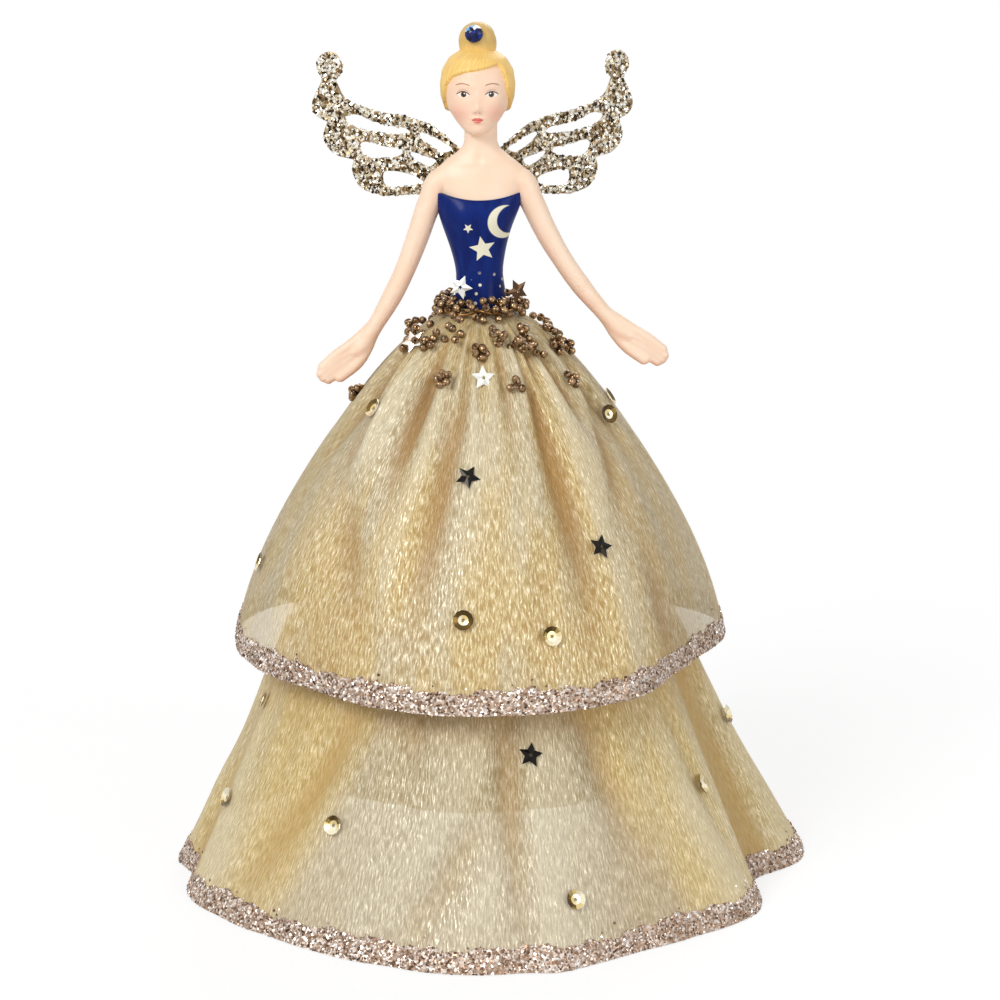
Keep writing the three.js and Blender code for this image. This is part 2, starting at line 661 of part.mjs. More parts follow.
function cupSequin() {
  const rim = SEQUIN_DIAMETER / 2;
  const hole = SEQUIN_HOLE / 2;
  const floor = rim * 0.55;
  const profile = [
    point(hole, 0),
    point(floor, 0),
    point(rim, SEQUIN_CUP),
    point(rim - SEQUIN_FOIL * 0.7, SEQUIN_CUP + SEQUIN_FOIL * 0.7),
    point(floor - SEQUIN_FOIL * 0.3, SEQUIN_FOIL),
    point(hole, SEQUIN_FOIL),
    point(hole, 0),
  ];
  return new THREE.LatheGeometry(profile, 8).rotateX(Math.PI / 2);
}

function starSequin() {
  const shape = new THREE.Shape();
  const reach = STAR_DIAMETER / 2;
  for (let i = 0; i < 10; i++) {
    const turn = (i / 10) * 2 * Math.PI + Math.PI / 2;
    const radius = i % 2 === 0 ? reach : reach * 0.45;
    const [x, y] = [radius * Math.cos(turn), radius * Math.sin(turn)];
    i === 0 ? shape.moveTo(x, y) : shape.lineTo(x, y);
  }
  const hole = new THREE.Path();
  hole.absarc(0, 0, SEQUIN_HOLE / 2, 0, 2 * Math.PI);
  shape.holes = [hole];
  return new THREE.ExtrudeGeometry(shape, { depth: SEQUIN_FOIL, bevelEnabled: false, curveSegments: 3 });
}

// Assembly
const fairy = new THREE.Group();
const upperTier = piece(
  "upper_tier",
  clothBand(UPPER_TIER, SKIRT_ROWS, -CLOTH / 2, CLOTH / 2, SKIRT_STEPS),
  "organza",
);
const lowerTier = piece(
  "lower_tier",
  clothBand(LOWER_TIER, SKIRT_ROWS, -CLOTH / 2, CLOTH / 2, SKIRT_STEPS),
  "organza",
);
fairy.add(piece("card_cone", cardCone(), "card"));
fairy.add(piece("lining", clothBand(LINING, LINING_ROWS, -CLOTH / 2, CLOTH / 2, LINING_STEPS), "lining"));
fairy.add(lowerTier);
fairy.add(piece("lower_hem_trim", hemTrim(LOWER_TIER), "rose"));
fairy.add(upperTier);
fairy.add(piece("upper_hem_trim", hemTrim(UPPER_TIER), "rose"));

const figure = new THREE.Group();
figure.position.z = WAIST_HEIGHT;
fairy.add(figure);
const casting = piece("figure_casting", figureCasting(), "skin");
figure.add(casting);

// Where a ray first meets a piece, with the outward normal of the face that it meets
function meet(carrier, origin, direction) {
  carrier.updateWorldMatrix(true, false);
  const [hit] = new THREE.Raycaster(origin, direction).intersectObject(carrier);
  return hit;
}

const FAR = 300; // outside the whole part
function seatAt(carrier, azimuth, height) {
  const out = outward(azimuth);
  const origin = out.clone().multiplyScalar(FAR).setZ(height);
  const hit = meet(carrier, origin, out.negate());
  return { carrier, place: hit.point, normal: hit.face.normal.clone() };
}

// How far the carrier rises under the rim of a round foot, above the middle of the seat
const FACE = new THREE.Vector3(0, 0, 1);
const PROBE = 5; // height that the rise is measured from
function riseUnder({ carrier, place, normal }, foot) {
  const upright = new THREE.Quaternion().setFromUnitVectors(FACE, normal);
  const down = normal.clone().negate();
  let rise = 0;
  for (let i = 0; i < 12; i++) {
    const turn = (i / 12) * 2 * Math.PI;
    const rim = new THREE.Vector3(foot * Math.cos(turn), foot * Math.sin(turn), PROBE);
    const hit = meet(carrier, rim.applyQuaternion(upright).add(place), down);
    rise = Math.max(rise, PROBE - (hit?.distance ?? PROBE));
  }
  return rise;
}

// A trimming lies on its carrier with its face outwards, clear of the cloth under its whole foot
function sew(mesh, seat, foot, turn) {
  const lift = CLEARANCE + riseUnder(seat, foot);
  mesh.position.copy(seat.place).addScaledVector(seat.normal, lift);
  mesh.quaternion.setFromUnitVectors(FACE, seat.normal);
  mesh.rotateZ(THREE.MathUtils.degToRad(turn));
  return mesh;
}

// The stone sits on the front of the bun
const stoneSeat = seatAt(casting, 0, WAIST_HEIGHT + CROWN_HEIGHT + GEM_RISE);
fairy.add(sew(piece("hair_gem", gem(), "gem"), stoneSeat, GEM_DIAMETER / 2, 0));

// The tab lies on the back, and each wing bends at the tab's edge
const wings = new THREE.Group();
const rootMiddle = WAIST_HEIGHT + SHOULDER_HEIGHT - WING_ROOT_DROP;
const back = seatAt(casting, 180, rootMiddle - WING_ROOT_HEIGHT / 2).place.y;
wings.position.set(0, back + CLEARANCE + WING_SHEET / 2, rootMiddle);
fairy.add(wings);
wings.add(piece("wing_tab", wingTab(), "glitter"));
const bend = WING_TAB_WIDTH / 2 + CLEARANCE;
const rightWing = piece("right_wing", wing(), "glitter");
rightWing.position.x = bend;
rightWing.rotation.z = THREE.MathUtils.degToRad(RIGHT_WING_SWEEP);
const leftWing = piece("left_wing", wing().rotateZ(Math.PI), "glitter");
leftWing.position.x = -bend;
leftWing.rotation.z = THREE.MathUtils.degToRad(-LEFT_WING_SWEEP);
wings.add(rightWing, leftWing);

// The tie binds the layers at the waist, and the garland lies on the cloth outside it
const GARLAND_RADIUS = WAIST_RADIUS + CLEARANCE + THREAD_DIAMETER + GARLAND_EASE + BEAD_DIAMETER / 2;
const tieTube = THREAD_DIAMETER / 2;
const tieLoop = new THREE.TorusGeometry(WAIST_RADIUS + CLEARANCE + tieTube, tieTube, 5, 28);
const tie = piece("waist_tie", tieLoop, "thread");
tie.position.z = WAIST_HEIGHT + CLOTH / 2 + CLEARANCE + tieTube;
fairy.add(tie);

function beadAzimuths() {
  return Array.from({ length: GARLAND_BEADS }, (_, i) => (i / GARLAND_BEADS) * 360);
}

function garland() {
  const wire = new THREE.TorusGeometry(GARLAND_RADIUS, WIRE_DIAMETER / 2, 4, GARLAND_BEADS);
  const beads = beadAzimuths().map((azimuth) => {
    const place = outward(azimuth).multiplyScalar(GARLAND_RADIUS);
    return bead(place.x, place.y, 0);
  });
  return join([wire, ...beads]);
}
const garlandRing = piece("waist_garland", garland(), "bead");
const clothTop = beadAzimuths().map((azimuth) => {
  const above = outward(azimuth).multiplyScalar(GARLAND_RADIUS).setZ(FAR);
  return meet(upperTier, above, FACE.clone().negate()).point.z;
});
garlandRing.position.z = Math.max(...clothTop) + CLEARANCE + BEAD_DIAMETER / 2;
fairy.add(garlandRing);

// Bead clusters on the upper tier: azimuth, drop below the waist and number of beads
const CLUSTERS = [
  [-72, 7, 3],
  [-44, 6, 3],
  [1, 6, 4],
  [32, 6, 3],
  [70, 8, 3],
  [-22, 12, 3],
  [20, 13, 4],
  [61, 14, 4],
  [-88, 20, 3],
  [92, 9, 3],
  [118, 8, 3],
  [150, 12, 4],
  [180, 7, 3],
  [210, 12, 3],
  [240, 8, 3],
];
CLUSTERS.forEach(([azimuth, drop, count], i) => {
  const mesh = piece(`bead_cluster_${i + 1}`, beadCluster(count), "bead");
  fairy.add(sew(mesh, seatAt(upperTier, azimuth, WAIST_HEIGHT - drop), BEAD_DIAMETER, azimuth));
});

// Where a sewn trimming sits: its tier, and the share of the way up from that tier's hem to its tie
const upper = { mesh: upperTier, hem: upperHem, tie: upperTie };
const lower = { mesh: lowerTier, hem: lowerHem, tie: lowerTie };
const beaded = { mesh: upperTier, hem: point(TIE_RADIUS, WAIST_HEIGHT - BEADED_BAND), tie: upperTie };
function seatOn({ mesh, hem, tie }, azimuth, share) {
  return seatAt(mesh, azimuth, THREE.MathUtils.lerp(hem.y, tie.y, share));
}

// Cup sequins: the tier that carries it, azimuth and share of the tier's height
const CUPS = [
  [upper, -58, 0.75],
  [upper, 77, 0.713],
  [upper, -78, 0.275],
  [upper, -4, 0.25],
  [upper, 17, 0.2],
  [upper, 97, 0.738],
  [upper, 150, 0.375],
  [upper, 200, 0.65],
  [upper, 250, 0.225],
  [lower, -72, 0.331],
  [lower, -70, 0.165],
  [lower, -33, 0.188],
  [lower, 18, 0.098],
  [lower, 88, 0.271],
  [lower, 60, 0.218],
  [lower, 135, 0.226],
  [lower, 208, 0.165],
];
CUPS.forEach(([tier, azimuth, share], i) => {
  const mesh = piece(`cup_sequin_${i + 1}`, cupSequin(), "foil");
  fairy.add(sew(mesh, seatOn(tier, azimuth, share), SEQUIN_DIAMETER / 2, 0));
});

// Star sequins: the tier that carries it, azimuth, share of the tier's height, turn and finish
const STARS = [
  [upper, -4, 0.613, 10, "dark"],
  [upper, 36, 0.412, -12, "dark"],
  [lower, 12, 0.323, 20, "dark"],
  [beaded, 2, 0.45, 5, "pale"],
  [beaded, -60, 0.7, 15, "pale"],
  [upper, 170, 0.525, 0, "dark"],
  [lower, 228, 0.346, 14, "dark"],
];
STARS.forEach(([tier, azimuth, share, turn, finish], i) => {
  const mesh = piece(`star_sequin_${i + 1}`, starSequin(), finish);
  fairy.add(sew(mesh, seatOn(tier, azimuth, share), STAR_DIAMETER / 2, turn));
});

// Two more stars stand up out of the garland, with their lower points on its beads
const starReach = STAR_DIAMETER / 2;
const standing = garlandRing.position.z + BEAD_DIAMETER / 2 + CLEARANCE + starReach * Math.cos(Math.PI / 5);
const GARLAND_STARS = [
  [-28, "pale"],
  [58, "dark"],
];
GARLAND_STARS.forEach(([azimuth, finish], i) => {
  const mesh = piece(`garland_star_${i + 1}`, starSequin().rotateX(Math.PI / 2), finish);
  mesh.position.copy(outward(azimuth)).multiplyScalar(GARLAND_RADIUS).setZ(standing);
  mesh.rotation.z = THREE.MathUtils.degToRad(azimuth);
  fairy.add(mesh);
});

export default fairy;
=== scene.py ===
# %% [markdown]
# # A fairy for the top of the tree
# The real one is a painted resin doll, about 200 mm tall with its skirts, in glitter wings and two
# tiers of gold organza tied at the waist under a garland of bronze beads. The measured solids of the
# same doll come from the frame. They give every place and size here, and this lesson puts the finish
# on them: cloth that falls in folds, glitter made of loose flakes, paint, foil and beads.

# %% Open the frame
import json
import math

import bpy
import numpy as np
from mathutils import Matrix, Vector


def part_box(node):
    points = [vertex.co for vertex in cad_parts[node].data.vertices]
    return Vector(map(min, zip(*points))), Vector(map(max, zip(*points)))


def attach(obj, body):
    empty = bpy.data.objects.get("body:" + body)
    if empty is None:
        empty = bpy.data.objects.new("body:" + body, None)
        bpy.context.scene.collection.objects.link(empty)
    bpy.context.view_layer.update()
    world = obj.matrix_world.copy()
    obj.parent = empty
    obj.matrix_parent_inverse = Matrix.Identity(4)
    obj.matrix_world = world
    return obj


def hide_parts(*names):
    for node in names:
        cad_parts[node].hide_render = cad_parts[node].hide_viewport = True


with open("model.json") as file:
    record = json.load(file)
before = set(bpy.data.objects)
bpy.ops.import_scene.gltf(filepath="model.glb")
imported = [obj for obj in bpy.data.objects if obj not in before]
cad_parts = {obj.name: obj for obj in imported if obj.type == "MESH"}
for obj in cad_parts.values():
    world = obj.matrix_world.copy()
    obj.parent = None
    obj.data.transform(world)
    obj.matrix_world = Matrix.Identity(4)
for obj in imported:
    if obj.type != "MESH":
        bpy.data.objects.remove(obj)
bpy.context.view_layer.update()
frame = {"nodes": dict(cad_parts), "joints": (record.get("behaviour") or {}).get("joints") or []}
MM = 0.001
print("solids in the frame:", len(frame["nodes"]))

# %% [markdown]
# # Hands for the work
# Operators act on whatever is selected, so each step first lets go of everything and then takes hold
# of one piece. Points are read and written in millimetres, because that is how a maker measures a
# doll this size. A finished piece is given its paint, a body to ride on and the solid it stands for.

# %% Take hold of a piece
def let_go():
    if bpy.context.mode != "OBJECT":
        bpy.ops.object.mode_set(mode="OBJECT")
    bpy.ops.object.select_all(action="DESELECT")


def hold(*pieces):
    let_go()
    for piece in pieces:
        piece.select_set(True)
    bpy.context.view_layer.objects.active = pieces[0]


def open_up(piece):
    """Into edit mode, with everything selected."""
    hold(piece)
    bpy.ops.object.mode_set(mode="EDIT")
    bpy.ops.mesh.select_all(action="SELECT")


def join(*pieces):
    hold(*pieces)
    bpy.ops.object.join()
    return pieces[0]

# %% Read and write its points
def read_points(piece):
    points = np.zeros(len(piece.data.vertices) * 3)
    piece.data.vertices.foreach_get("co", points)
    return points.reshape(-1, 3) / MM


def read_normals(piece):
    normals = np.zeros(len(piece.data.vertices) * 3)
    piece.data.vertices.foreach_get("normal", normals)
    return normals.reshape(-1, 3)


def write_points(piece, points):
    piece.data.vertices.foreach_set("co", (np.asarray(points) * MM).ravel())
    piece.data.update()


print("top of the solid figure, mm:", round(read_points(frame["nodes"]["figure_casting"])[:, 2].max(), 1))

# %% Finish a piece
def work(piece, kind, **settings):
    """Adds a modifier, sets it and applies it."""
    hold(piece)
    modifier = piece.modifiers.new(kind.title(), kind)
    for name, value in settings.items():
        setattr(modifier, name, value)
    bpy.ops.object.modifier_apply(modifier=modifier.name)


def close_up():
    """Turns every face of the opened piece outwards and leaves edit mode."""
    bpy.ops.mesh.select_all(action="SELECT")
    bpy.ops.mesh.normals_make_consistent(inside=False)
    let_go()


def turn_out(piece, merge=None):
    """Turns every face outwards, after points closer than merge are made one."""
    open_up(piece)
    if merge:
        bpy.ops.mesh.remove_doubles(threshold=merge)
    close_up()


def complete(piece, name, finishes, stands_for, body="fairy", angle=45):
    """Names a finished piece, smooths and paints it and sets it on its body."""
    piece.name = name
    piece.data.name = name
    hold(piece)
    bpy.ops.object.transform_apply(location=True, rotation=True, scale=True)
    bpy.ops.object.shade_smooth_by_angle(angle=math.radians(angle))
    if finishes:
        piece.data.materials.clear()
        for finish in finishes:
            piece.data.materials.append(finish)
    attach(piece, body)
    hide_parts(*stands_for)
    piece.data.calc_loop_triangles()
    print(name, len(piece.data.loop_triangles), "triangles")
    return piece

# %% [markdown]
# # Sums that make shaders
# A finish is a small network of nodes. Wiring it by hand hides the idea, so one class stands for a
# socket and lets the idea be written as a sum: adding two sockets adds a Math node. Everything that
# isn't plain arithmetic goes through its one method, which adds any node by its type.

# %% A socket that can be added up
class Socket:
    def __init__(self, tree, socket=None):
        self.tree = tree
        self.socket = socket

    def node(self, kind, inputs=None, output=0, stops=None, **settings):
        made = self.tree.nodes.new(kind)
        for name, value in settings.items():
            setattr(made, name, value)
        if stops:
            elements = made.color_ramp.elements
            elements[0].position, elements[0].color = stops[0]
            elements[1].position, elements[1].color = stops[-1]
            for place, colour in stops[1:-1]:
                elements.new(place).color = colour
        for name, value in (inputs or {}).items():
            if isinstance(value, Socket):
                self.tree.links.new(value.socket, made.inputs[name])
            else:
                made.inputs[name].default_value = value
        return Socket(self.tree, made.outputs[output])

    def other(self, output):
        return Socket(self.tree, self.socket.node.outputs[output])

    def maths(self, operation, first, second=0.0):
        return self.node("ShaderNodeMath", {0: first, 1: second}, operation=operation)

    def __add__(self, value):
        return self.maths("ADD", self, value)

    def __sub__(self, value):
        return self.maths("SUBTRACT", self, value)

    def __rsub__(self, value):
        return self.maths("SUBTRACT", value, self)

    def __mul__(self, value):
        return self.maths("MULTIPLY", self, value)

    def __truediv__(self, value):
        return self.maths("DIVIDE", self, value)

    def __pow__(self, value):
        return self.maths("POWER", self, value)

    def __abs__(self):
        return self.maths("ABSOLUTE", self)

    __radd__ = __add__
    __rmul__ = __mul__

# %% [markdown]
# Colours are picked as on a paint chart, from 0 to 255, and turned into linear light once, in one place.
# Every finish is one Principled shader: what is the same all over is set, and what changes is linked.

# %% Colours and materials
def shade(red, green, blue):
    """A paint-chart colour, 0 to 255, as the linear light that a shader counts in."""
    chart = [value / 255 for value in (red, green, blue)]
    return tuple(v / 12.92 if v < 0.04 else ((v + 0.055) / 1.055) ** 2.4 for v in chart) + (1.0,)


def new_finish(name, fixed):
    """A material with its constant sockets set; returns it with a socket to build from."""
    finish = bpy.data.materials.new(name)
    finish.use_nodes = True
    surface = finish.node_tree.nodes["Principled BSDF"]
    for socket, value in fixed.items():
        surface.inputs[socket].default_value = value
    return finish, Socket(finish.node_tree)


def feed(finish, inputs):
    """Links what changes over the surface to the sockets of its shader."""
    surface = finish.node_tree.nodes["Principled BSDF"]
    for name, value in inputs.items():
        finish.node_tree.links.new(value.socket, surface.inputs[name])


print("a mid grey in linear light:", round(shade(128, 128, 128)[0], 3))

# %% [markdown]
# A pattern starts from a place on the surface. Object coordinates suit a casting, and a UV map suits
# cloth, because its threads follow the cloth. The other words are the few nodes that every finish here
# is made from: a value kept on the mesh, a noise, a smooth step, a mix, a ramp of colours and a bump.

# %% Places and patterns
def where(start, kind="Object"):
    """The place on the surface, in millimetres for Object coordinates."""
    place = start.node("ShaderNodeTexCoord", output=kind)
    if kind == "UV":
        return place
    return start.node("ShaderNodeVectorMath", {0: place, "Scale": 1 / MM}, operation="SCALE")


def parts(place):
    across = place.node("ShaderNodeSeparateXYZ", {0: place})
    return across, across.other("Y"), across.other("Z")


def vector(x, y, z=0.0):
    return x.node("ShaderNodeCombineXYZ", {"X": x, "Y": y, "Z": z})


def kept(start, name):
    """A value that the mesh keeps under that name."""
    return start.node("ShaderNodeAttribute", output="Fac", attribute_name=name)


def noise(place, scale, detail=2.0, roughness=0.5):
    return place.node("ShaderNodeTexNoise", {"Vector": place, "Scale": scale, "Detail": detail,
                                             "Roughness": roughness}, "Fac")


def step(value, low, high):
    """0 below low, 1 above high, smooth between."""
    return value.node("ShaderNodeMapRange", {0: value, 1: low, 2: high}, interpolation_type="SMOOTHSTEP")


def mix(amount, under, over):
    return amount.node("ShaderNodeMix", {0: amount, 6: under, 7: over}, 2, data_type="RGBA")


def ramp(value, stops):
    return value.node("ShaderNodeValToRGB", {0: value}, stops=stops)


def bump(height, strength, distance):
    return height.node("ShaderNodeBump", {"Height": height, "Strength": strength,
                                          "Distance": distance * MM})


print("shader words ready")

# %% [markdown]
# # Where the viewer stands
# The doll was photographed from about 70 cm away with a long lens, a little above its head and
# looking down at it. The lens and place were worked out from the tilt of the hems.

# %% Camera
VIEWED_FROM = 4.4, -700, 259.8
LOOKING_DOWN = 13.74
LENS, SENSOR = 110.1, 36
let_go()
bpy.ops.object.camera_add(location=[value * MM for value in VIEWED_FROM],
                          rotation=(math.radians(90 - LOOKING_DOWN), 0, 0))
camera = bpy.context.object
camera.data.sensor_width = SENSOR
camera.data.lens = LENS
bpy.context.scene.camera = camera
print("camera at", VIEWED_FROM, "mm with a lens of", LENS, "mm")

# %% [markdown]
# # A white studio
# The doll stands on white. Brighter lamps could bleach the background, but they would bleach the doll too.
# So the backdrop is white only where the camera or a mirror looks, and the light that falls on it
# stays at a plain level.

# %% World
DAYLIGHT = 0.46
bpy.context.scene.view_settings.view_transform = "Standard"
world = bpy.data.worlds.new("studio")
world.use_nodes = True
bpy.context.scene.world = world
air = Socket(world.node_tree)
path = air.node("ShaderNodeLightPath", output="Is Camera Ray")
mirrored = path.maths("MAXIMUM", path.other("Is Glossy Ray"), path.other("Is Transmission Ray"))
seen = path.maths("MAXIMUM", path, mirrored)
backdrop = world.node_tree.nodes["Background"]
backdrop.inputs["Color"].default_value = (1, 1, 1, 1)
world.node_tree.links.new((DAYLIGHT + seen * (1 - DAYLIGHT)).socket, backdrop.inputs["Strength"])
print("daylight", DAYLIGHT)

# %% [markdown]
# The floor is a sheet of white paper. Near the doll it adds part of its white to what the camera sees
# and keeps the rest for the light, so a soft shadow is still there. Further off it turns into the
# backdrop.

# %% Floor
FLOOR_SIZE, FLOOR_DROP = 14, 0.0002
SHADOW_FADES, SHADOW_ENDS = 160, 420


def grey(value):
    return value, value, value, 1


let_go()
bpy.ops.mesh.primitive_plane_add(size=FLOOR_SIZE, location=(0, 0, -FLOOR_DROP))
floor = bpy.context.object
floor.name = "studio_floor"
paper, start = new_finish("studio_paper", {"Roughness": 0.9, "Specular IOR Level": 0.0,
                                           "Emission Strength": 1.0})
path = start.node("ShaderNodeLightPath", output="Is Camera Ray")
place = where(start)
away = place.node("ShaderNodeVectorMath", {0: place}, "Value", operation="LENGTH")
far = step(away, SHADOW_FADES, SHADOW_ENDS)
feed(paper, {"Base Color": mix(path, grey(0.8), mix(far, grey(0.3), grey(0))),
             "Emission Color": mix(path, grey(0), mix(far, grey(0.74), grey(1)))})
floor.data.materials.append(paper)
print("floor", FLOOR_SIZE, "m wide")

# %% [markdown]
# Three large soft lamps do what a light tent does: a key from the upper left, a weaker fill from the
# right and a little light from behind, which picks out the edges of the cloth.

# %% Lamps
LAMPS = {"key_lamp": ((-0.75, -1.0, 1.0), 0.7, 12),
         "fill_lamp": ((1.0, -0.9, 0.5), 0.9, 4.5),
         "back_lamp": ((0.3, 1.2, 0.9), 0.8, 5)}
AIM = Vector((0, 0, 0.1))
for name, (place, size, power) in LAMPS.items():
    let_go()
    bpy.ops.object.light_add(type="AREA", location=place)
    lamp = bpy.context.object
    lamp.name = name
    lamp.data.shape = "DISK"
    lamp.data.size = size
    lamp.data.energy = power
    lamp.rotation_euler = (AIM - Vector(place)).to_track_quat("-Z", "Y").to_euler()
print("lamps:", *LAMPS)

# %% [markdown]
# # How a gathered skirt falls
# Each skirt is a flared strip of cloth drawn up on a thread at the waist. It springs out over the
# layer below, then hangs in soft folds. A cloth simulation would choose folds of its own, so the fall
# is drawn: one curve from the waist to the hem, pulled in along each fold by a smooth valley. The
# curve and the large folds are those of the measured solids, so the cloth lies where they do.

# %% The fall curve
def fall(tie, spring, through, hem):
    """Four handles of the curve that leaves the tie along spring and passes through a point."""
    tie, through, hem = np.array(tie), np.array(through), np.array(hem)
    spring = tie + np.array(spring)
    at = 2 / 3
    handle = (through - (1 - at) ** 3 * tie - 3 * at * (1 - at) ** 2 * spring - at ** 3 * hem)
    return np.array([tie, spring, handle / (3 * at ** 2 * (1 - at)), hem])


def along(curve, t):
    """Radius and height on a fall curve, and the way the cloth runs there."""
    a, b, c, d = curve
    t = np.asarray(t, float)[..., None]
    place = (1 - t) ** 3 * a + 3 * t * (1 - t) ** 2 * b + 3 * t ** 2 * (1 - t) * c + t ** 3 * d
    run = (1 - t) ** 2 * (b - a) + 2 * t * (1 - t) * (c - b) + t ** 2 * (d - c)
    return place, run / np.linalg.norm(run, axis=-1, keepdims=True)


def tape(curve):
    """A tape measure laid down the cloth: places on its curve, and the length to each."""
    t = np.linspace(0, 1, 400)
    place, _ = along(curve, t)
    return t, np.concatenate([[0], np.cumsum(np.linalg.norm(np.diff(place, axis=0), axis=1))])


plumb = fall((0, 90), (0, -30), (0, 30), (0, 0))
print("a plumb fall of 90 mm measures", round(tape(plumb)[1][-1], 1), "mm")

# %% [markdown]
# A fold could be sculpted with a brush. Here each one is a line in a list: where it lies, how deep and
# wide it is and how far down it runs, so one fold can be mended without touching the rest. A fold of
# less than no depth is a ridge.

# %% A fold
class Fold:
    """A valley down the cloth: its azimuth, depth and half width, and where it starts, is deepest and
    ends, measured down from the waist. A leaning fold moves round by some degrees every 10 mm."""
    def __init__(self, azimuth, depth, half_width, starts, deepest, ends, lean=0.0):
        self.azimuth, self.depth, self.half_width, self.lean = azimuth, depth, half_width, lean
        self.starts, self.deepest, self.ends = starts, deepest, ends

    def valley(self, azimuth, down, spread=0.0):
        """How deep it is at a place; spread blurs it sideways without changing how much cloth it takes."""
        away = azimuth - self.azimuth - self.lean * (down - self.deepest) / 10
        away = (away + 180) % 360 - 180
        rising = np.clip((down - self.starts) / (self.deepest - self.starts), 0, 1) ** 1.5
        past = np.clip((down - self.deepest) / (self.ends - self.deepest), 0, 1)
        fading = np.cos(past * math.pi / 2) ** 2
        width = math.hypot(self.half_width, spread)
        depth = self.depth * self.half_width / width
        return depth * np.exp(-(away / width) ** 2) * np.where(down <= self.deepest, rising, fading)

    def shallower(self, share):
        """The same fold in a layer below, which follows it less."""
        return Fold(self.azimuth, self.depth * share, self.half_width, self.starts, self.deepest,
                    self.ends, self.lean)


def hem_folds(run, rows):
    """Folds that still deepen at the hem, because their run is longer than the cloth."""
    return [Fold(azimuth, depth, half_width, 0, run, 2 * run) for azimuth, depth, half_width in rows]


print("a fold of 2 mm half way to its deepest:", Fold(0, 2, 5, 0, 50, 100).valley(0, 25).round(2), "mm")

# %% [markdown]
# The long folds reach the hems and make them wave. Shorter ones start at the gather and die away down
# the cloth, and the lower tier follows them a little under the upper one. In front they are set one by
# one, and behind a seeded draw spaces them out.

# %% Where the folds lie
WAIST = 134.0
UPPER_RUN, LOWER_RUN = 107, 170
upper_folds = hem_folds(UPPER_RUN, [(-42, 3.5, 18), (62, 6, 20), (130, 5, 18), (176, 4.5, 16), (222, 5, 18)])
upper_folds += [Fold(-43, 1.6, 6.5, 34, 60, 98, 6), Fold(17, 1.2, 4, 44, 66, 104, -1.5),
                Fold(62, 2.4, 6, 10, 38, 74, -7), Fold(54, 1.4, 5, 50, 78, 112)]
lower_folds = hem_folds(LOWER_RUN, [(-79, 5.5, 7), (-40, 5.0, 26), (36, 5.6, 18), (75, 10.4, 8.5),
                                    (118, 8, 13), (150, 6, 12), (192, 6, 12), (226, 9, 15), (258, 6, 10)])
lower_folds += [Fold(97, -5.4, 13, 70, LOWER_RUN, 2 * LOWER_RUN), Fold(6.5, 3.4, 3.4, 60, 106, 172, 0.4),
                Fold(13, -2.0, 7, 100, LOWER_RUN, 2 * LOWER_RUN), Fold(28.5, 2.0, 4.2, 60, 102, 140, 1.8),
                Fold(-40, 2.4, 5.5, 60, 110, 168, -4), Fold(-16.5, 1.6, 3.6, 60, 97, 122),
                Fold(-3, 2.2, 5, 98, 124, 168, -4.5), Fold(58.5, 2.2, 3.2, 60, 118, 170, 1.4)]
waist_folds = [Fold(-70, 2.4, 6, 1, 18, 52), Fold(-50, -1.6, 9, 1, 26, 62), Fold(-32, 4.6, 6, 1, 24, 62),
               Fold(-21, 1.2, 3.6, 1, 12, 34), Fold(-12, 3.4, 6, 1, 32, 112, -1.0),
               Fold(1, 1.8, 4, 1, 12, 42), Fold(14, 2.6, 5, 1, 17, 58), Fold(38, 2.4, 5.5, 1, 15, 38, -3.5),
               Fold(29, 4.6, 6.6, 6, 36, 112), Fold(50, 1.6, 4, 1, 13, 36)]
BEHIND = np.arange(56, 320, 16.5)
loom = np.random.default_rng(3)
for azimuth in BEHIND:
    deepest = loom.uniform(22, 42)
    waist_folds.append(Fold(azimuth + loom.uniform(-4, 4), loom.uniform(1.7, 3.1), loom.uniform(3.8, 5.4), 4,
                            deepest, deepest * loom.uniform(1.8, 2.2), loom.uniform(-1.5, 1.5)))
    lower_folds.append(Fold(azimuth + loom.uniform(2, 12), loom.uniform(0.8, 2.2), loom.uniform(3.4, 5), 60,
                            loom.uniform(96, 112), loom.uniform(130, 165), loom.uniform(-2, 2)))
lining_folds = [Fold(12 + 40 * turn, 1.6, 10, 0, 120, 240) for turn in range(9)]
print("folds from the waist, upper and lower:", len(waist_folds), len(upper_folds), len(lower_folds))

# %% [markdown]
# All three skirts leave the tie together. The lining hangs closest, and each tier springs out further
# than the one below it. The lower tier follows the folds of the upper one where it lies under them.

# %% The three skirts
TIE_RADIUS = 6.8
FOLLOWS = 0.75
UPPER = fall((TIE_RADIUS, WAIST), (15, -5), (46.4, 87), (58.2, 54)), upper_folds + waist_folds
LOWER = (fall((TIE_RADIUS, WAIST - 1), (14, -7), (49.5, 54), (75, 0)),
         lower_folds + [fold.shallower(FOLLOWS) for fold in waist_folds])
LINING = fall((TIE_RADIUS, WAIST - 2), (7, -8), (36.5, 62.5), (44.5, 26.5)), lining_folds
print("waist to hem, mm:", [round(tape(curve)[1][-1]) for curve, _ in (UPPER, LOWER, LINING)])

# %% [markdown]
# A point of the cloth is found from its azimuth and its place on the fall. The folds pull it in, tiny
# gathers crimp it close to the thread, and the hem flutters. What a fold does to the light is kept as
# well: the lie of the cloth is below zero in a valley and above zero on the ridge beside it.

# %% Points of the cloth
GATHERS = [(31, 0.26, 0.4), (38, 0.3, 2.1), (47, 0.24, 4.0)]
GATHERED = 44
FLUTTERS = [(7, 0.5, 1), (16, 0.35, 2.3), (29, 0.25, 0)]
RIDGE_SPREAD = 14
AT_HEM = 0.999


def ripple(angle, waves):
    """A sum of waves round the waist, each with its count, size and phase."""
    return sum(size * np.cos(count * angle + phase) for count, size, phase in waves)


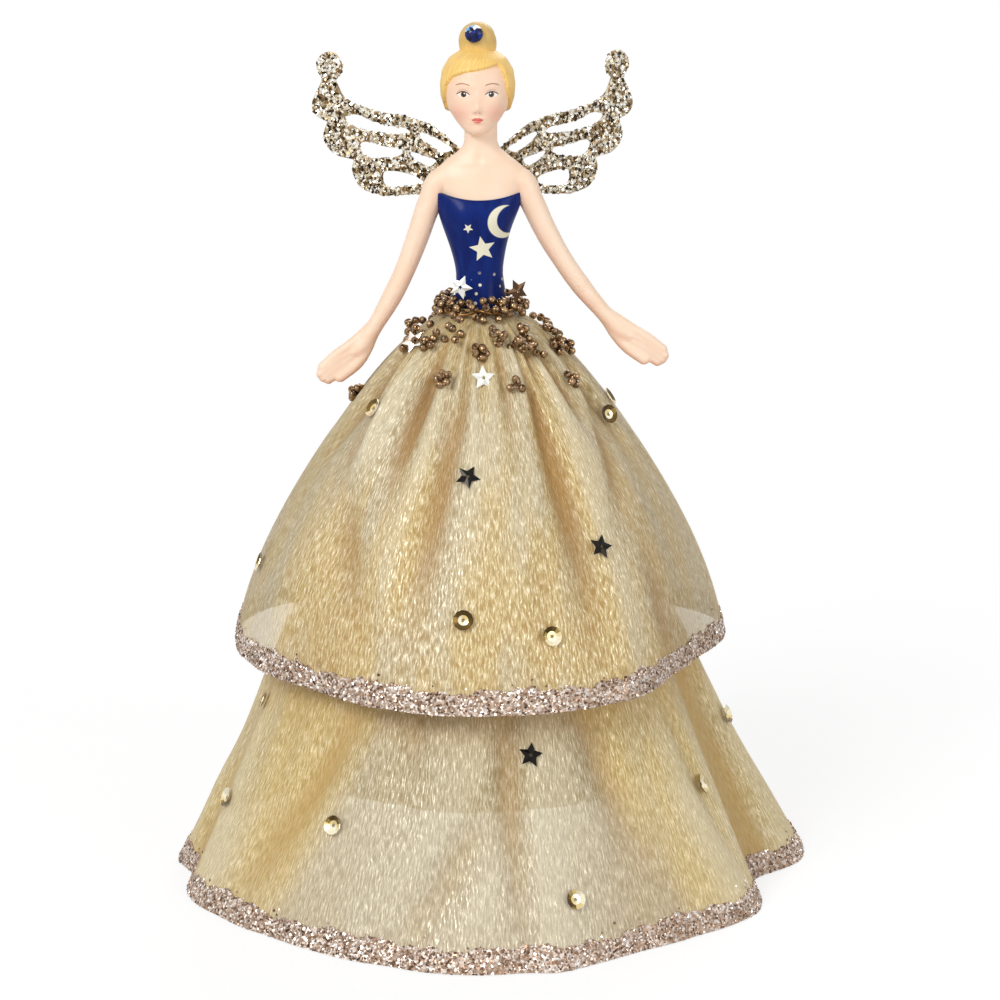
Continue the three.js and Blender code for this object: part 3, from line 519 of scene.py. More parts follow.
def cloth_points(skirt, azimuth, t, out=0.0, flutter=0.0, lift=0.0):
    """Points of a skirt in millimetres, and the lie of the cloth there; azimuth 0 is the front. The hem
    may lift at the two sides."""
    curve, folds = skirt
    place, run = along(curve, t)
    down = np.interp(t, *tape(curve))
    hollow = sum(fold.valley(azimuth, down) for fold in folds)
    lie = sum(fold.valley(azimuth, down, RIDGE_SPREAD) for fold in folds) - hollow
    angle = np.radians(azimuth)
    pleat = ripple(angle, GATHERS) * np.sin(np.pi * np.clip(down / GATHERED, 0, 1))
    step_off = out + pleat + flutter * ripple(angle, FLUTTERS) * t ** 2
    radius = place[..., 0] - run[..., 1] * step_off - hollow
    height = place[..., 1] + np.where(t > AT_HEM, 0, run[..., 0] * step_off)
    height = height + lift * np.sin(angle) ** 4 * t ** 3
    return np.stack([radius * np.sin(angle), -radius * np.cos(angle), height], -1), lie + pleat


front_hem, _ = cloth_points(UPPER, np.array([0.0]), np.array([1.0]))
print("front of the upper hem, mm:", front_hem[0].round(1))

# %% [markdown]
# The cloth itself starts as a flat grid. Its columns are rolled round the waist and its rows are laid
# down the fall, and the two long edges are sewn together at the back by merging doubles. The grid
# brings a UV map, which later lets the threads run with the cloth.

# %% Roll a grid into a skirt
CLOTH = 0.14
RAGGED = [(11, 0.1, 0), (37, 0.08, 1), (89, 0.06, 2)]
SEWN = 1e-6


def above_table(piece):
    """Lifts what lies below the table up to it."""
    points = read_points(piece)
    points[:, 2] = np.maximum(points[:, 2], 0)
    write_points(piece, points)


def roll_cloth(skirt, columns, rows, out=0.0, flutter=0.0, lift=0.0, thickness=CLOTH, band=None):
    """The whole skirt, or only a ragged band of about that width along its hem."""
    let_go()
    bpy.ops.mesh.primitive_grid_add(x_subdivisions=columns, y_subdivisions=rows, size=2)
    cloth = bpy.context.object
    flat = read_points(cloth) * MM
    t, length = tape(skirt[0])
    azimuth = 180 * flat[:, 0]
    ragged = 1 + sum(size * np.sin(count * np.radians(azimuth) + phase) for count, size, phase in RAGGED)
    top = length[-1] - band * ragged if band else 0.0
    down = top + (length[-1] - top) * (1 - flat[:, 1]) / 2
    points, lie = cloth_points(skirt, azimuth, np.interp(down, length, t), out, flutter, lift)
    write_points(cloth, points)
    cloth.data.attributes.new("lie", "FLOAT", "POINT").data.foreach_set("value", lie)
    turn_out(cloth, SEWN)
    points, normals = read_points(cloth), read_normals(cloth)
    if (points[:, :2] * normals[:, :2]).sum() < 0:
        open_up(cloth)
        bpy.ops.mesh.flip_normals()
        let_go()
    work(cloth, "SOLIDIFY", thickness=thickness * MM, offset=-1)
    above_table(cloth)
    return cloth

# %% [markdown]
# # The card cone
# Inside the skirts is a cone of grey card, rolled up and glued where it laps. The tree's top shoot
# goes into it. Grey card is pressed pulp, so its finish is fibres over soft blotches.

# %% Card finish
card, start = new_finish("grey_card", {"Roughness": 0.85})
place = where(start)
fibre = noise(place, 2.2, 5, 0.65)
pulp = mix(noise(place, 0.12, 2), shade(176, 160, 132), shade(190, 176, 150))
feed(card, {"Base Color": mix(step(fibre, 0.3, 0.75), pulp, shade(206, 194, 170)),
            "Normal": bump(fibre, 0.4, 0.08)})
print("card finish ready")

# %% [markdown]
# A cone primitive would have no seam. So a flat grid is rolled a little more than once round, and its
# radius shrinks by the card's thickness on the way, so that the end laps inside the start. Solidify
# then gives the card its thickness.

# %% Roll the card
CARD, CARD_LAP, LAP_GAP = 0.8, 24, 0.15
CARD_STEP = 4.0
CONE_TOP, CONE_BASE = 9.1, 40.0
low, high = [np.array(corner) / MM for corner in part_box("card_cone")]
turns = np.radians(np.arange(0, 360 + CARD_LAP + 1, CARD_STEP))
let_go()
bpy.ops.mesh.primitive_grid_add(x_subdivisions=len(turns) - 1, y_subdivisions=24, size=2)
cone = bpy.context.object
flat = read_points(cone) * MM
turn = np.interp(flat[:, 0], np.linspace(-1, 1, len(turns)), turns) + math.pi
share = (1 - flat[:, 1]) / 2
lap = (CARD + LAP_GAP) * np.clip((turn - turns[0] - math.pi) / math.radians(360), 0, 1)
radius = CONE_TOP + (CONE_BASE - CONE_TOP) * share - lap
write_points(cone, np.stack([radius * np.sin(turn), -radius * np.cos(turn),
                             high[2] + (low[2] - high[2]) * share], -1))
turn_out(cone)
work(cone, "SOLIDIFY", thickness=CARD * MM, offset=-1)
complete(cone, "rolled_card_cone", [card], ["card_cone"])

# %% [markdown]
# # The lining
# Over the cone hangs a plain gold lining. It shows through the organza as the warmer, darker gold in
# the middle of the skirts. It is a close satin weave: fine threads both ways, and a soft shine.

# %% Lining finish
satin, start = new_finish("lining_satin", {"Sheen Weight": 0.2})
u, v, _ = parts(where(start, "UV"))
sway = noise(vector(u * 90, v * 30), 1, 2) - 0.5
warp = noise(vector(u * 420 + sway * 3, v * 26), 1, 2)
weft = noise(vector(u * 120, v * 420), 1, 2)
tone = noise(vector(u * 14, v * 5), 1, 3)
shine = step(warp, 0.48, 0.64)
gold = mix(step(warp, 0.3, 0.6), shade(230, 180, 86), shade(250, 210, 122))
gold = mix(shine, mix(tone, gold, shade(240, 196, 106)), shade(255, 238, 184))
feed(satin, {"Base Color": gold,
             "Roughness": 0.5 - shine * 0.2,
             "Metallic": shine * 0.4,
             "Normal": bump(warp + weft * 0.5, 0.35, 0.15)})
print("lining finish ready")

# %% [markdown]
# The lining is the same roll of cloth with nine wide folds, which rests on the cone.

# %% Lining
lining = roll_cloth(LINING, 300, 60)
complete(lining, "gathered_lining", [satin], ["lining"], angle=60)

# %% [markdown]
# # Crinkled organza
# The tiers are a sheer woven cloth with metal thread in it, crushed so that the threads lie in short
# wavy streaks. Each streak is either a bright thread, a pale one or a gap that the layer below shows
# through. Two noises stretched down the UV map make the streaks, a third bends them, and the same
# streaks drive the colour, the metal, the roughness, the bump and how see-through the cloth is.

# %% Streaks of crushed thread
def streaks(u, v, threads, runs):
    """Long strands, and finer ones that only add sparkle."""
    bend = noise(vector(u * threads / 5, v * runs * 1.3), 1, 2) - 0.5
    strand = noise(vector(u * threads + bend * 2.4, v * runs), 1, 2, 0.6)
    return strand, noise(vector(u * threads * 1.7 + bend * 4, v * runs * 2.4), 1, 1)


# Painted light and shade among these colours: the crest colour is a painted highlight on the fold ridges, the
# valley colour a painted shade in the fold valleys, the edge colour a painted shade at the sides and the hem
# colour a painted shadow under the upper hem. The glint colour is the paler metal thread with a painted
# highlight on it.
GOLD_THREAD, SILVER_THREAD = shade(208, 174, 106), shade(204, 186, 146)
PALE_GOLD, PALE_SILVER = shade(250, 228, 172), shade(242, 232, 206)
CREST_LIGHT, GLINT_LIGHT = shade(255, 244, 212), shade(255, 246, 218)
VALLEY_SHADE, EDGE_SHADE = shade(170, 124, 54), shade(164, 146, 106)
DULLED, DOUBLED_GOLD, HEM_SHADOW = shade(158, 138, 98), shade(208, 180, 104), shade(204, 156, 74)
DOUBLED_SLANT = 0.005
print("organza colours ready")

# %% [markdown]
# Sheer cloth changes with what lies behind it. In front the lower tier hangs single, so it is silvery
# and gets less painted shade in its valleys. Round the sides it is doubled back on itself and goldener,
# and under the upper hem it gets a painted shadow. The lie that the cloth keeps places a painted
# highlight on the ridges and a painted shade in the valleys.

# %% Organza finish
def organza_finish(name, threads, runs, ground, shaded=None):
    """Threads across, runs down, and how much the weave covers between its bright threads. A layer that
    hangs under another is duller, has a painted shadow that deepens over the 14 mm up to that height, and
    is thin above it."""
    finish, start = new_finish(name, {"Sheen Weight": 0.1})
    u, v, _ = parts(where(start, "UV"))
    x, y, z = parts(where(start))
    sideways = abs(x) / (x ** 2 + y ** 2) ** 0.5
    lie = kept(start, "lie")
    # where the lie is low, a painted shade in the valleys; where it is high, a painted highlight on the
    # ridges
    valley, crest_highlight = step(lie, 0.3, -2.0), step(lie, 0.2, 1.1)
    strand, fine = streaks(u, v, threads, runs)
    light = step(strand, 0.36, 0.6)
    glint = step(strand * 0.6 + fine * 0.4, 0.54, 0.64)
    silver = step(noise(vector(u * 26, v * 2.4), 1, 3), 0.4, 0.66) * 0.8
    # how strongly the valleys are painted in shade; less on the single layer in front of the lower tier
    valley_shading = 0.8
    if shaded:
        doubled = step(sideways + z * DOUBLED_SLANT, 0.64, 0.78)
        silver = silver + (1 - doubled) * (0.9 - silver) * 0.75
        valley_shading = 0.5 + doubled * 0.3
    cloth = mix(light, mix(silver, GOLD_THREAD, SILVER_THREAD), mix(silver, PALE_GOLD, PALE_SILVER))
    cloth = mix(crest_highlight * 0.55, cloth, CREST_LIGHT)
    cloth = mix(glint, cloth, GLINT_LIGHT)
    cloth = mix(valley * valley_shading, cloth, VALLEY_SHADE)
    cover = ground + glint * 0.26 + light * 0.06 + valley * 0.2
    if shaded:
        cloth = mix(0.4 - light * 0.16 - doubled * 0.22, cloth, DULLED)
        cloth = mix(doubled * 0.35, cloth, DOUBLED_GOLD)
        # a painted shadow on the lower tier, deepest just under the upper hem
        cloth = mix(step(z, shaded - 14, shaded) * 0.4, cloth, HEM_SHADOW)
        cover = (cover + doubled * 0.14) * (1 - step(z, shaded, shaded + 6) * 0.7)
    else:
        cloth = mix(step(sideways, 0.76, 0.93) * 0.34, cloth, EDGE_SHADE)
    feed(finish, {"Base Color": cloth,
                  "Metallic": glint * (1 - valley) * 0.35,
                  "Roughness": 0.6 - glint * 0.3,
                  "Alpha": cover,
                  "Normal": bump(strand + fine * 0.5, 0.5, 0.2)})
    return finish


upper_organza = organza_finish("upper_organza", 820, 38, 0.5)
lower_organza = organza_finish("lower_organza", 1080, 54, 0.6, shaded=54)
print("organza finishes ready")

# %% [markdown]
# The two tiers are rolled like the lining, with finer grids, so that every fold and gather has points
# enough to be round. The upper hem lifts a little at the sides, where the cloth is stiffer.

# %% Tiers
PROUD = 0.2
UPPER_FLUTTER, LOWER_FLUTTER = 0.35, 0.5
UPPER_LIFT = 2.2
lower_tier = roll_cloth(LOWER, 500, 84, out=PROUD, flutter=LOWER_FLUTTER)
complete(lower_tier, "lower_organza_tier", [lower_organza], ["lower_tier"], angle=60)
upper_tier = roll_cloth(UPPER, 500, 72, out=PROUD, flutter=UPPER_FLUTTER, lift=UPPER_LIFT)
complete(upper_tier, "upper_organza_tier", [upper_organza], ["upper_tier"], angle=60)

# %% [markdown]
# # Glitter
# Glitter is thousands of cut foil flakes, each lying at its own angle, so each catches the light at
# its own moment. One flake is modelled, a small kite of foil, and copies of it are strewn over a
# surface: every copy gets its own turn, tilt, size and a tone from dark bronze to white.

# %% One flake
FLAKE_THICK = 0.16
let_go()
bpy.ops.mesh.primitive_circle_add(vertices=4, radius=0.5, fill_type="NGON")
flake = bpy.context.object
open_up(flake)
bpy.ops.mesh.extrude_region_move(TRANSFORM_OT_translate={"value": (0, 0, FLAKE_THICK)})
bpy.ops.transform.resize(value=(0.8, 0.9, 1), center_override=(0.06, 0, 0))
close_up()
FLAKE_POINTS = read_points(flake) * MM
FLAKE_FACES = [list(face.vertices) for face in flake.data.polygons]
bpy.data.objects.remove(flake)
print("faces of a flake:", len(FLAKE_FACES))

# %% [markdown]
# A particle system could scatter the flakes, but they would then be copies that no one can count or
# keep off a bend. Here places are drawn at random over the triangles of a surface, large ones more
# often, and every flake becomes a real piece of one mesh.

# %% Strew the flakes
def spread_over(piece, count, rng, wanted=None):
    """Random places on a piece, in millimetres, with the way the surface faces there."""
    mesh = piece.data
    mesh.calc_loop_triangles()
    corners = np.zeros(len(mesh.loop_triangles) * 3, np.int32)
    mesh.loop_triangles.foreach_get("vertices", corners)
    triangles = read_points(piece)[corners.reshape(-1, 3)]
    if wanted is not None:
        triangles = triangles[wanted(triangles.mean(1))]
    normal = np.cross(triangles[:, 1] - triangles[:, 0], triangles[:, 2] - triangles[:, 0])
    area = np.linalg.norm(normal, axis=1)
    chosen = rng.choice(len(triangles), count, p=area / area.sum())
    first, second = rng.random((2, count))
    flip = first + second > 1
    first, second = np.where(flip, 1 - first, first), np.where(flip, 1 - second, second)
    a, b, c = triangles[chosen].transpose(1, 0, 2)
    return a + first[:, None] * (b - a) + second[:, None] * (c - a), normal[chosen] / area[chosen][:, None]


def strew(name, places, facing, rng, sizes, tilt):
    """One mesh of many flakes, each with its own tone."""
    count = len(places)
    facing = facing + tilt * rng.normal(size=(count, 3))
    facing /= np.linalg.norm(facing, axis=1, keepdims=True)
    across = np.cross(facing, rng.normal(size=(count, 3)))
    across /= np.linalg.norm(across, axis=1, keepdims=True)
    axes = np.stack([across, np.cross(facing, across), facing], 1)
    size = rng.uniform(*sizes, count)[:, None, None]
    points = places[:, None, :] + size * np.einsum("pk,nkc->npc", FLAKE_POINTS, axes)
    corner_count = len(FLAKE_POINTS)
    faces = [[index + corner_count * number for index in face]
             for number in range(count) for face in FLAKE_FACES]
    mesh = bpy.data.meshes.new(name)
    mesh.from_pydata((points.reshape(-1, 3) * MM).tolist(), [], faces)
    tones = mesh.attributes.new("tone", "FLOAT", "POINT")
    tones.data.foreach_set("value", np.repeat(rng.random(count), corner_count))
    made = bpy.data.objects.new(name, mesh)
    bpy.context.collection.objects.link(made)
    return made


def dull(flakes, share):
    """Scales the tone of the flakes, point by point."""
    tones = np.zeros(len(flakes.data.vertices))
    flakes.data.attributes["tone"].data.foreach_get("value", tones)
    flakes.data.attributes["tone"].data.foreach_set("value", np.clip(tones * share, 0, 1))

# %% [markdown]
# Under the loose flakes lies a coat of finer glitter. It is too fine to model, so a Voronoi pattern
# gives every grain its own colour, and leans its normal as if it lay askew. Both finishes share one
# ramp of tones.

# %% Glitter finishes
HEM_TONES = [(0.0, shade(84, 58, 42)), (0.18, shade(138, 106, 82)), (0.4, shade(184, 156, 134)),
             (0.65, shade(226, 210, 196)), (0.95, shade(255, 250, 246))]
GRAIN_LEAN = 0.9


def glitter_finish(name, tones, ground, flake_size):
    """Foil flakes by their tone, and the coat of finer glitter that they lie in."""
    flakes, start = new_finish(name + "_flakes", {"Metallic": 0.75, "Roughness": 0.22})
    feed(flakes, {"Base Color": ramp(kept(start, "tone"), tones)})
    coat, start = new_finish(name + "_coat", {"Roughness": 0.35})
    place = where(start)
    grain = place.node("ShaderNodeTexVoronoi", {"Vector": place, "Scale": 1 / flake_size}, "Color")
    spark, lean, _ = parts(grain)
    facing = start.node("ShaderNodeNewGeometry", output="Normal")
    leaning = start.node("ShaderNodeVectorMath", {0: grain, 1: (0.5, 0.5, 0.5)}, operation="SUBTRACT")
    leaning = start.node("ShaderNodeVectorMath", {0: leaning, "Scale": GRAIN_LEAN}, operation="SCALE")
    leaning = start.node("ShaderNodeVectorMath", {0: facing, 1: leaning}, operation="ADD")
    feed(coat, {"Base Color": mix(step(lean, 0.15, 0.5), ground, ramp(spark, tones)),
                "Metallic": step(lean, 0.2, 0.6) * 0.7,
                "Normal": start.node("ShaderNodeVectorMath", {0: leaning}, operation="NORMALIZE")})
    return [coat, flakes]


hem_glitter = glitter_finish("hem_glitter", HEM_TONES, shade(170, 142, 120), 0.5)
print("hem glitter tones:", len(HEM_TONES))

# %% [markdown]
# # Glitter hems
# Each hem is edged with a band of rose-silver glitter, brushed on so that its upper edge is ragged.
# The band is a strip of the same cloth roll, a little proud of the tier. Flakes cover it, and a
# scatter of strays above it breaks the edge up.

# %% Hem bands
HEM_BAND, HEM_PROUD, HEM_THICK = 5.2, 0.42, 0.5
STRAY, STRAY_FADES = 2.6, 0.8
HEM_FLAKES = 0.35, 0.85


def glitter_hem(name, skirt, tier, flutter, lift, count, seed, node):
    rng = np.random.default_rng(seed)
    band = roll_cloth(skirt, 420, 6, out=HEM_PROUD, flutter=flutter, lift=lift, thickness=HEM_THICK,
                      band=HEM_BAND)
    places, facing = spread_over(band, count, rng)
    (_, hem), (_, slope) = along(skirt[0], 1.0)
    edge = hem - HEM_BAND * slope

    def above(places):
        return places[:, 2] - edge - lift * (places[:, 0] / np.hypot(places[:, 0], places[:, 1])) ** 4

    strays, stray_facing = spread_over(tier, count // 6, rng, lambda middle: abs(above(middle) - 1) < STRAY)
    stays = rng.random(len(strays)) < np.exp(-above(strays) / STRAY_FADES)
    places = np.concatenate([places, strays[stays] + stray_facing[stays] * 0.1])
    facing = np.concatenate([facing, stray_facing[stays]])
    flakes = strew("flakes", places, facing, rng, HEM_FLAKES, 0.35)
    points = read_points(flakes)
    turn = np.arctan2(points[:, 0], -points[:, 1])
    dull(flakes, 0.88 + 0.09 * np.sin(9 * turn + seed) + 0.07 * np.sin(23 * turn + 2 * seed))
    above_table(flakes)
    band.data.materials.append(hem_glitter[0])
    flakes.data.materials.append(hem_glitter[1])
    join(band, flakes)
    return complete(band, name, [], [node], angle=30)


lower_hem = glitter_hem("lower_glitter_hem", LOWER, lower_tier, LOWER_FLUTTER, 0, 9000, 5, "lower_hem_trim")
upper_hem = glitter_hem("upper_glitter_hem", UPPER, upper_tier, UPPER_FLUTTER, UPPER_LIFT, 7000, 6,
                        "upper_hem_trim")

# %% [markdown]
# With its hem on, each tier is done. Its flat piece of cloth would be as wide as its hem with every fold
# pulled out, and somewhat longer than the way from the waist to the hem, for what is caught under the tie.

# %% Hems on
print("both tiers hemmed")

# %% [markdown]
# # The casting
# The doll is one resin casting: torso, arms, neck, head, hair and bun. Forms like these are grown ring
# by ring, as a potter builds a coil pot: a circle is extruded, moved and scaled again and again. The
# arms follow curves with a radius at each point. Overlapping forms are then remeshed into one skin and
# smoothed, as clay is, and small features are pushed and pulled with a soft falloff.

# %% Grow a form
def grow(rings, points=40):
    """A closed form from rings of (height, half width, half depth, centre x, centre y)."""
    let_go()
    height, wide, deep, x, y = rings[0]
    bpy.ops.mesh.primitive_circle_add(vertices=points, radius=MM, fill_type="NGON")
    form = bpy.context.object
    open_up(form)
    bpy.ops.transform.resize(value=(wide, deep, 1), center_override=(0, 0, 0))
    bpy.ops.transform.translate(value=(x * MM, y * MM, height * MM))
    for before, after in zip(rings, rings[1:]):
        move = [(after[i] - before[i]) * MM for i in (3, 4, 0)]
        bpy.ops.mesh.extrude_region_move(TRANSFORM_OT_translate={"value": move})
        bpy.ops.transform.resize(value=(after[1] / before[1], after[2] / before[2], 1),
                                 center_override=[after[i] * MM for i in (3, 4, 0)])
    close_up()
    return form

# %% Draw a limb
def limb(path, radii, sides=5):
    """A tube along a smooth path, with its own radius at each point."""
    curve = bpy.data.curves.new("limb", "CURVE")
    curve.dimensions = "3D"
    curve.bevel_depth = MM
    curve.bevel_resolution = sides
    curve.resolution_u = 8
    curve.use_fill_caps = True
    spline = curve.splines.new("BEZIER")
    spline.bezier_points.add(len(path) - 1)
    for point, place, radius in zip(spline.bezier_points, path, radii):
        point.co = Vector(place) * MM
        point.radius = radius
        point.handle_left_type = point.handle_right_type = "AUTO"
    made = bpy.data.objects.new("limb", curve)
    bpy.context.collection.objects.link(made)
    hold(made)
    bpy.ops.object.convert(target="MESH")
    return bpy.context.object

# %% Melt and press
def melt(form, voxel, smooth):
    """Remeshes overlapping forms into one skin and smooths it."""
    work(form, "REMESH", mode="VOXEL", voxel_size=voxel * MM)
    work(form, "SMOOTH", factor=0.5, iterations=smooth)


def press(points, centre, reach, push):
    """Moves points near a centre by push, less and less with distance."""
    away = (points - np.array(centre)) / np.array(reach)
    return points + np.exp(-(away ** 2).sum(1))[:, None] * np.array(push)

# %% [markdown]
# Skin paint is pale peach with a warmer airbrushed tone. The undersides of the arms get a pinker painted
# shade: each point keeps how far down it faces as an attribute for the paint.

# %% Skin finish
def skin_finish(name):
    finish, start = new_finish(name, {"Roughness": 0.42, "Subsurface Weight": 0.12, "Subsurface Scale": 0.001,
                                      "Subsurface Radius": (1.0, 0.45, 0.3)})
    place = where(start)
    patch = noise(place, 0.16, 2)
    skin = mix(step(patch, 0.3, 0.7), shade(248, 216, 188), shade(250, 222, 197))
    # a pinker painted shade on the undersides of the arms, from the attribute of how far down they face
    skin = mix(kept(start, "underside_shade"), skin, shade(240, 180, 152))
    return finish, place, skin


def underside_shade(piece, amounts):
    attribute = piece.data.attributes.new("underside_shade", "FLOAT", "POINT")
    attribute.data.foreach_set("value", np.clip(amounts, 0, 1))


skin_paint, place, skin = skin_finish("skin_paint")
grain = noise(place, 3.0, 3)
feed(skin_paint, {"Base Color": skin, "Roughness": 0.36 + grain * 0.14, "Normal": bump(grain, 0.15, 0.03)})
print("skin finish ready")

# %% [markdown]
# The arms hang out to the sides and bow a little, each in its own way, so each has a list of places
# along it and how far it bows there. A hand is a palm, four fingers and a thumb, drawn as limbs that
# overlap; the remeshing joins them as if they had been cast together.

# %% Arms and hands
LEFT_BOW = 5.4, [(0, 0), (0.11, 0.11), (0.3, 0.52), (0.46, 0.83), (0.63, 1), (0.79, 0.98), (0.93, 0.74)]
RIGHT_BOW = -5.8, [(0, 0), (0.13, 0.28), (0.35, 0.79), (0.54, 1), (0.69, 1), (0.81, 0.91), (0.94, 0.6)]
ARM_PLACES = 0, 0.12, 0.3, 0.44, 0.58, 0.72, 0.8
ARM_RADII = 2.9, 2.85, 2.65, 2.4, 2.35, 1.95, 2.0
FINGERS = (1.9, 0.7), (0.7, -0.4), (-0.6, -0.4), (-1.8, 0.2)


def arm(root, tip, bow, shares):
    """The arm to the wrist, then a hand of palm, four fingers and a thumb."""
    root, tip = np.array(root), np.array(tip)

    def middle(share):
        place = root + (tip - root) * share
        place[0] += bow * np.interp(share, *np.array(shares + [(1, 0)]).T)
        return place

    inside = root + np.array([-math.copysign(3.0, root[0]), 0, 0.5])
    forms = [limb([inside] + [middle(share) for share in ARM_PLACES], (2.0,) + ARM_RADII)]
    wrist, palm, end = middle(0.76), middle(0.86), middle(1.0)
    reach = (end - palm) / np.linalg.norm(end - palm)
    side = np.cross(reach, (0, 1, 0))
    side *= math.copysign(1, side[2])
    front = np.cross(side, reach)
    front *= math.copysign(1, -front[1])
    forms.append(limb([wrist, palm - reach, palm + reach * 1.5], [1.9, 2.1, 1.6]))
    for offset, shorter in FINGERS:
        knuckle = palm + side * offset
        finger_end = end + side * offset * 0.85 - reach * (shorter + 0.5)
        bend = (knuckle + finger_end) / 2 + side * 0.25 + front * 0.2
        path = [wrist + side * offset * 0.5, knuckle, bend, finger_end, finger_end + reach * 0.75]
        forms.append(limb(path, [1.2, 1.35, 1.3, 1.15, 0.45], 3))
    thumb_end = middle(0.95) + np.array([0, -0.6, -2.6])
    path = [wrist - side * 0.6, middle(0.88) - side * 2.0 + front * 0.3, thumb_end,
            thumb_end + reach * 0.7 - side * 0.2]
    forms.append(limb(path, [1.4, 1.45, 1.2, 0.5], 3))
    return forms

# %% [markdown]
# The chest, shoulders and neck are rings. After the melting the throat is pressed in and two
# collarbones are pressed out. Only the arms get the pinker painted shade on their undersides.

# %% Shoulders
SHOULDER, SHOULDER_HALF = WAIST + 30.4, 9.2
LEFT_TIP, RIGHT_TIP = (-37.3, -2.2, WAIST - 15.4), (42.7, -2.2, WAIST - 11)
torso = grow([(WAIST + z, wide, deep, 0, y) for z, wide, deep, y in (
    (16, 4.8, 4.4, -0.2), (20.1, 5.6, 4.9, -0.5), (24.1, 7.8, 5.2, -0.5), (26.5, 9.0, 5.1, -0.4),
    (29.4, 10, 4.8, -0.1), (31.6, 10.6, 4.4, 0), (33.2, 10, 4, 0.1), (34.8, 8.2, 3.8, 0.2),
    (36.4, 6.0, 3.6, 0.3), (37.8, 4.4, 3.4, 0.4), (39.2, 3.8, 3.4, 0.4), (46.2, 3.8, 3.4, 0.4))])
left_arm = arm((-SHOULDER_HALF, 0, SHOULDER), LEFT_TIP, *LEFT_BOW)
right_arm = arm((SHOULDER_HALF, 0, SHOULDER), RIGHT_TIP, *RIGHT_BOW)
body = join(torso, *left_arm, *right_arm)
melt(body, 0.3, 10)
points = read_points(body)
points = press(points, (-0.3, -4.6, WAIST + 35.5), (0.9, 3, 1.6), (0, 0.35, 0))
for side in (-1, 1):
    points = press(points, (side * 4.6, -4.4, WAIST + 34.6), (3.6, 3, 0.7), (0, -0.25, 0))
write_points(body, points)
# the painted shade goes on the arms only, more where they face further down
on_arms = np.abs(points[:, 0]) > 8.5
underside_shade(body, np.clip(-read_normals(body)[:, 2] * 0.9 + 0.1, 0, 0.85) * on_arms)
complete(body, "shoulders_and_arms", [skin_paint], ["figure_casting"], angle=180)

# %% [markdown]
# # The blue bodice
# The dress is glossy royal-blue enamel on the same casting, with a crescent, stars and dots in cream.
# The form runs from the hip flange and peg, which sit in the cone, up to the bust, where the painted
# edge is a small step that dips in the middle. The motifs are drawn as sums of distances.

# %% Motifs
NOTCH = 0.45


def disc(x, z, middle, radius, soft=0.12):
    away = ((x - middle[0]) ** 2 + (z - middle[1]) ** 2) ** 0.5
    return step(radius - away, -soft, soft)


def star_mask(x, z, middle, radius, points, turn=0.0):
    """A star with straight sides: its edge lies on the line from each tip to the notch beside it."""
    dx, dz = x - middle[0], z - middle[1]
    away = (dx ** 2 + dz ** 2) ** 0.5
    half = math.pi / points
    angle = x.maths("PINGPONG", x.maths("ARCTAN2", dz, dx) + turn, half)
    slant = x.maths("SINE", angle) + x.maths("SINE", half - angle) * NOTCH
    edge = x.maths("DIVIDE", radius * NOTCH * math.sin(half), slant)
    return step(edge - away, -0.1, 0.1)


enamel, start = new_finish("bodice_enamel", {"Specular IOR Level": 0.1, "Coat Roughness": 0.12})
place = where(start)
x, y, z = parts(place)
crescent = disc(x, z, (5.5, WAIST + 21.4), 3.9) * (1 - disc(x, z, (7.1, WAIST + 21.8), 3.4))
stars = x.maths("MAXIMUM", star_mask(x, z, (0.4, WAIST + 15.2), 3.1, 5, -1.75),
                star_mask(x, z, (-2.9, WAIST + 20.1), 1.2, 5, 0.3))
front = step(y, 0.0, -1.0)
dots = place.node("ShaderNodeTexVoronoi", {"Vector": place, "Scale": 0.5}, "Distance")
dots = step(dots, 0.24, 0.16) * step(z, WAIST + 10.5, WAIST + 7.5)
motif = x.maths("MAXIMUM", x.maths("MAXIMUM", crescent, stars) * front, dots)
print("motifs drawn")

# %% [markdown]
# The enamel was brushed on, so its blue varies in soft upright streaks. The motifs stand a little proud
# of it in matt cream. Below the waist the casting was left bare.

# %% Bodice finish
speck = noise(place, 2.4, 3)
brushed = noise(vector(x, y, z * 0.3), 0.5, 3)
blue = mix(step(brushed, 0.3, 0.7), shade(8, 27, 92), shade(14, 40, 114))
cream = mix(speck, shade(232, 222, 180), shade(240, 238, 226))
resin = step(z, WAIST - 1.5, WAIST - 2.0)
feed(enamel, {"Base Color": mix(resin, mix(motif, blue, cream), shade(240, 222, 200)),
              "Roughness": 0.3 + motif * 0.2 + resin * 0.3 + speck * 0.06,
              "Coat Weight": 0.05 - resin * 0.05,
              "Normal": bump(motif + speck * 0.1, 0.35, 0.12)})
print("bodice finish ready")

# %% [markdown]
# The form is one stack of rings from the peg up. Its top edge is then lifted at the sides, which makes
# the dip in the middle, the waist is drawn in on one side, and the bust is pressed out.

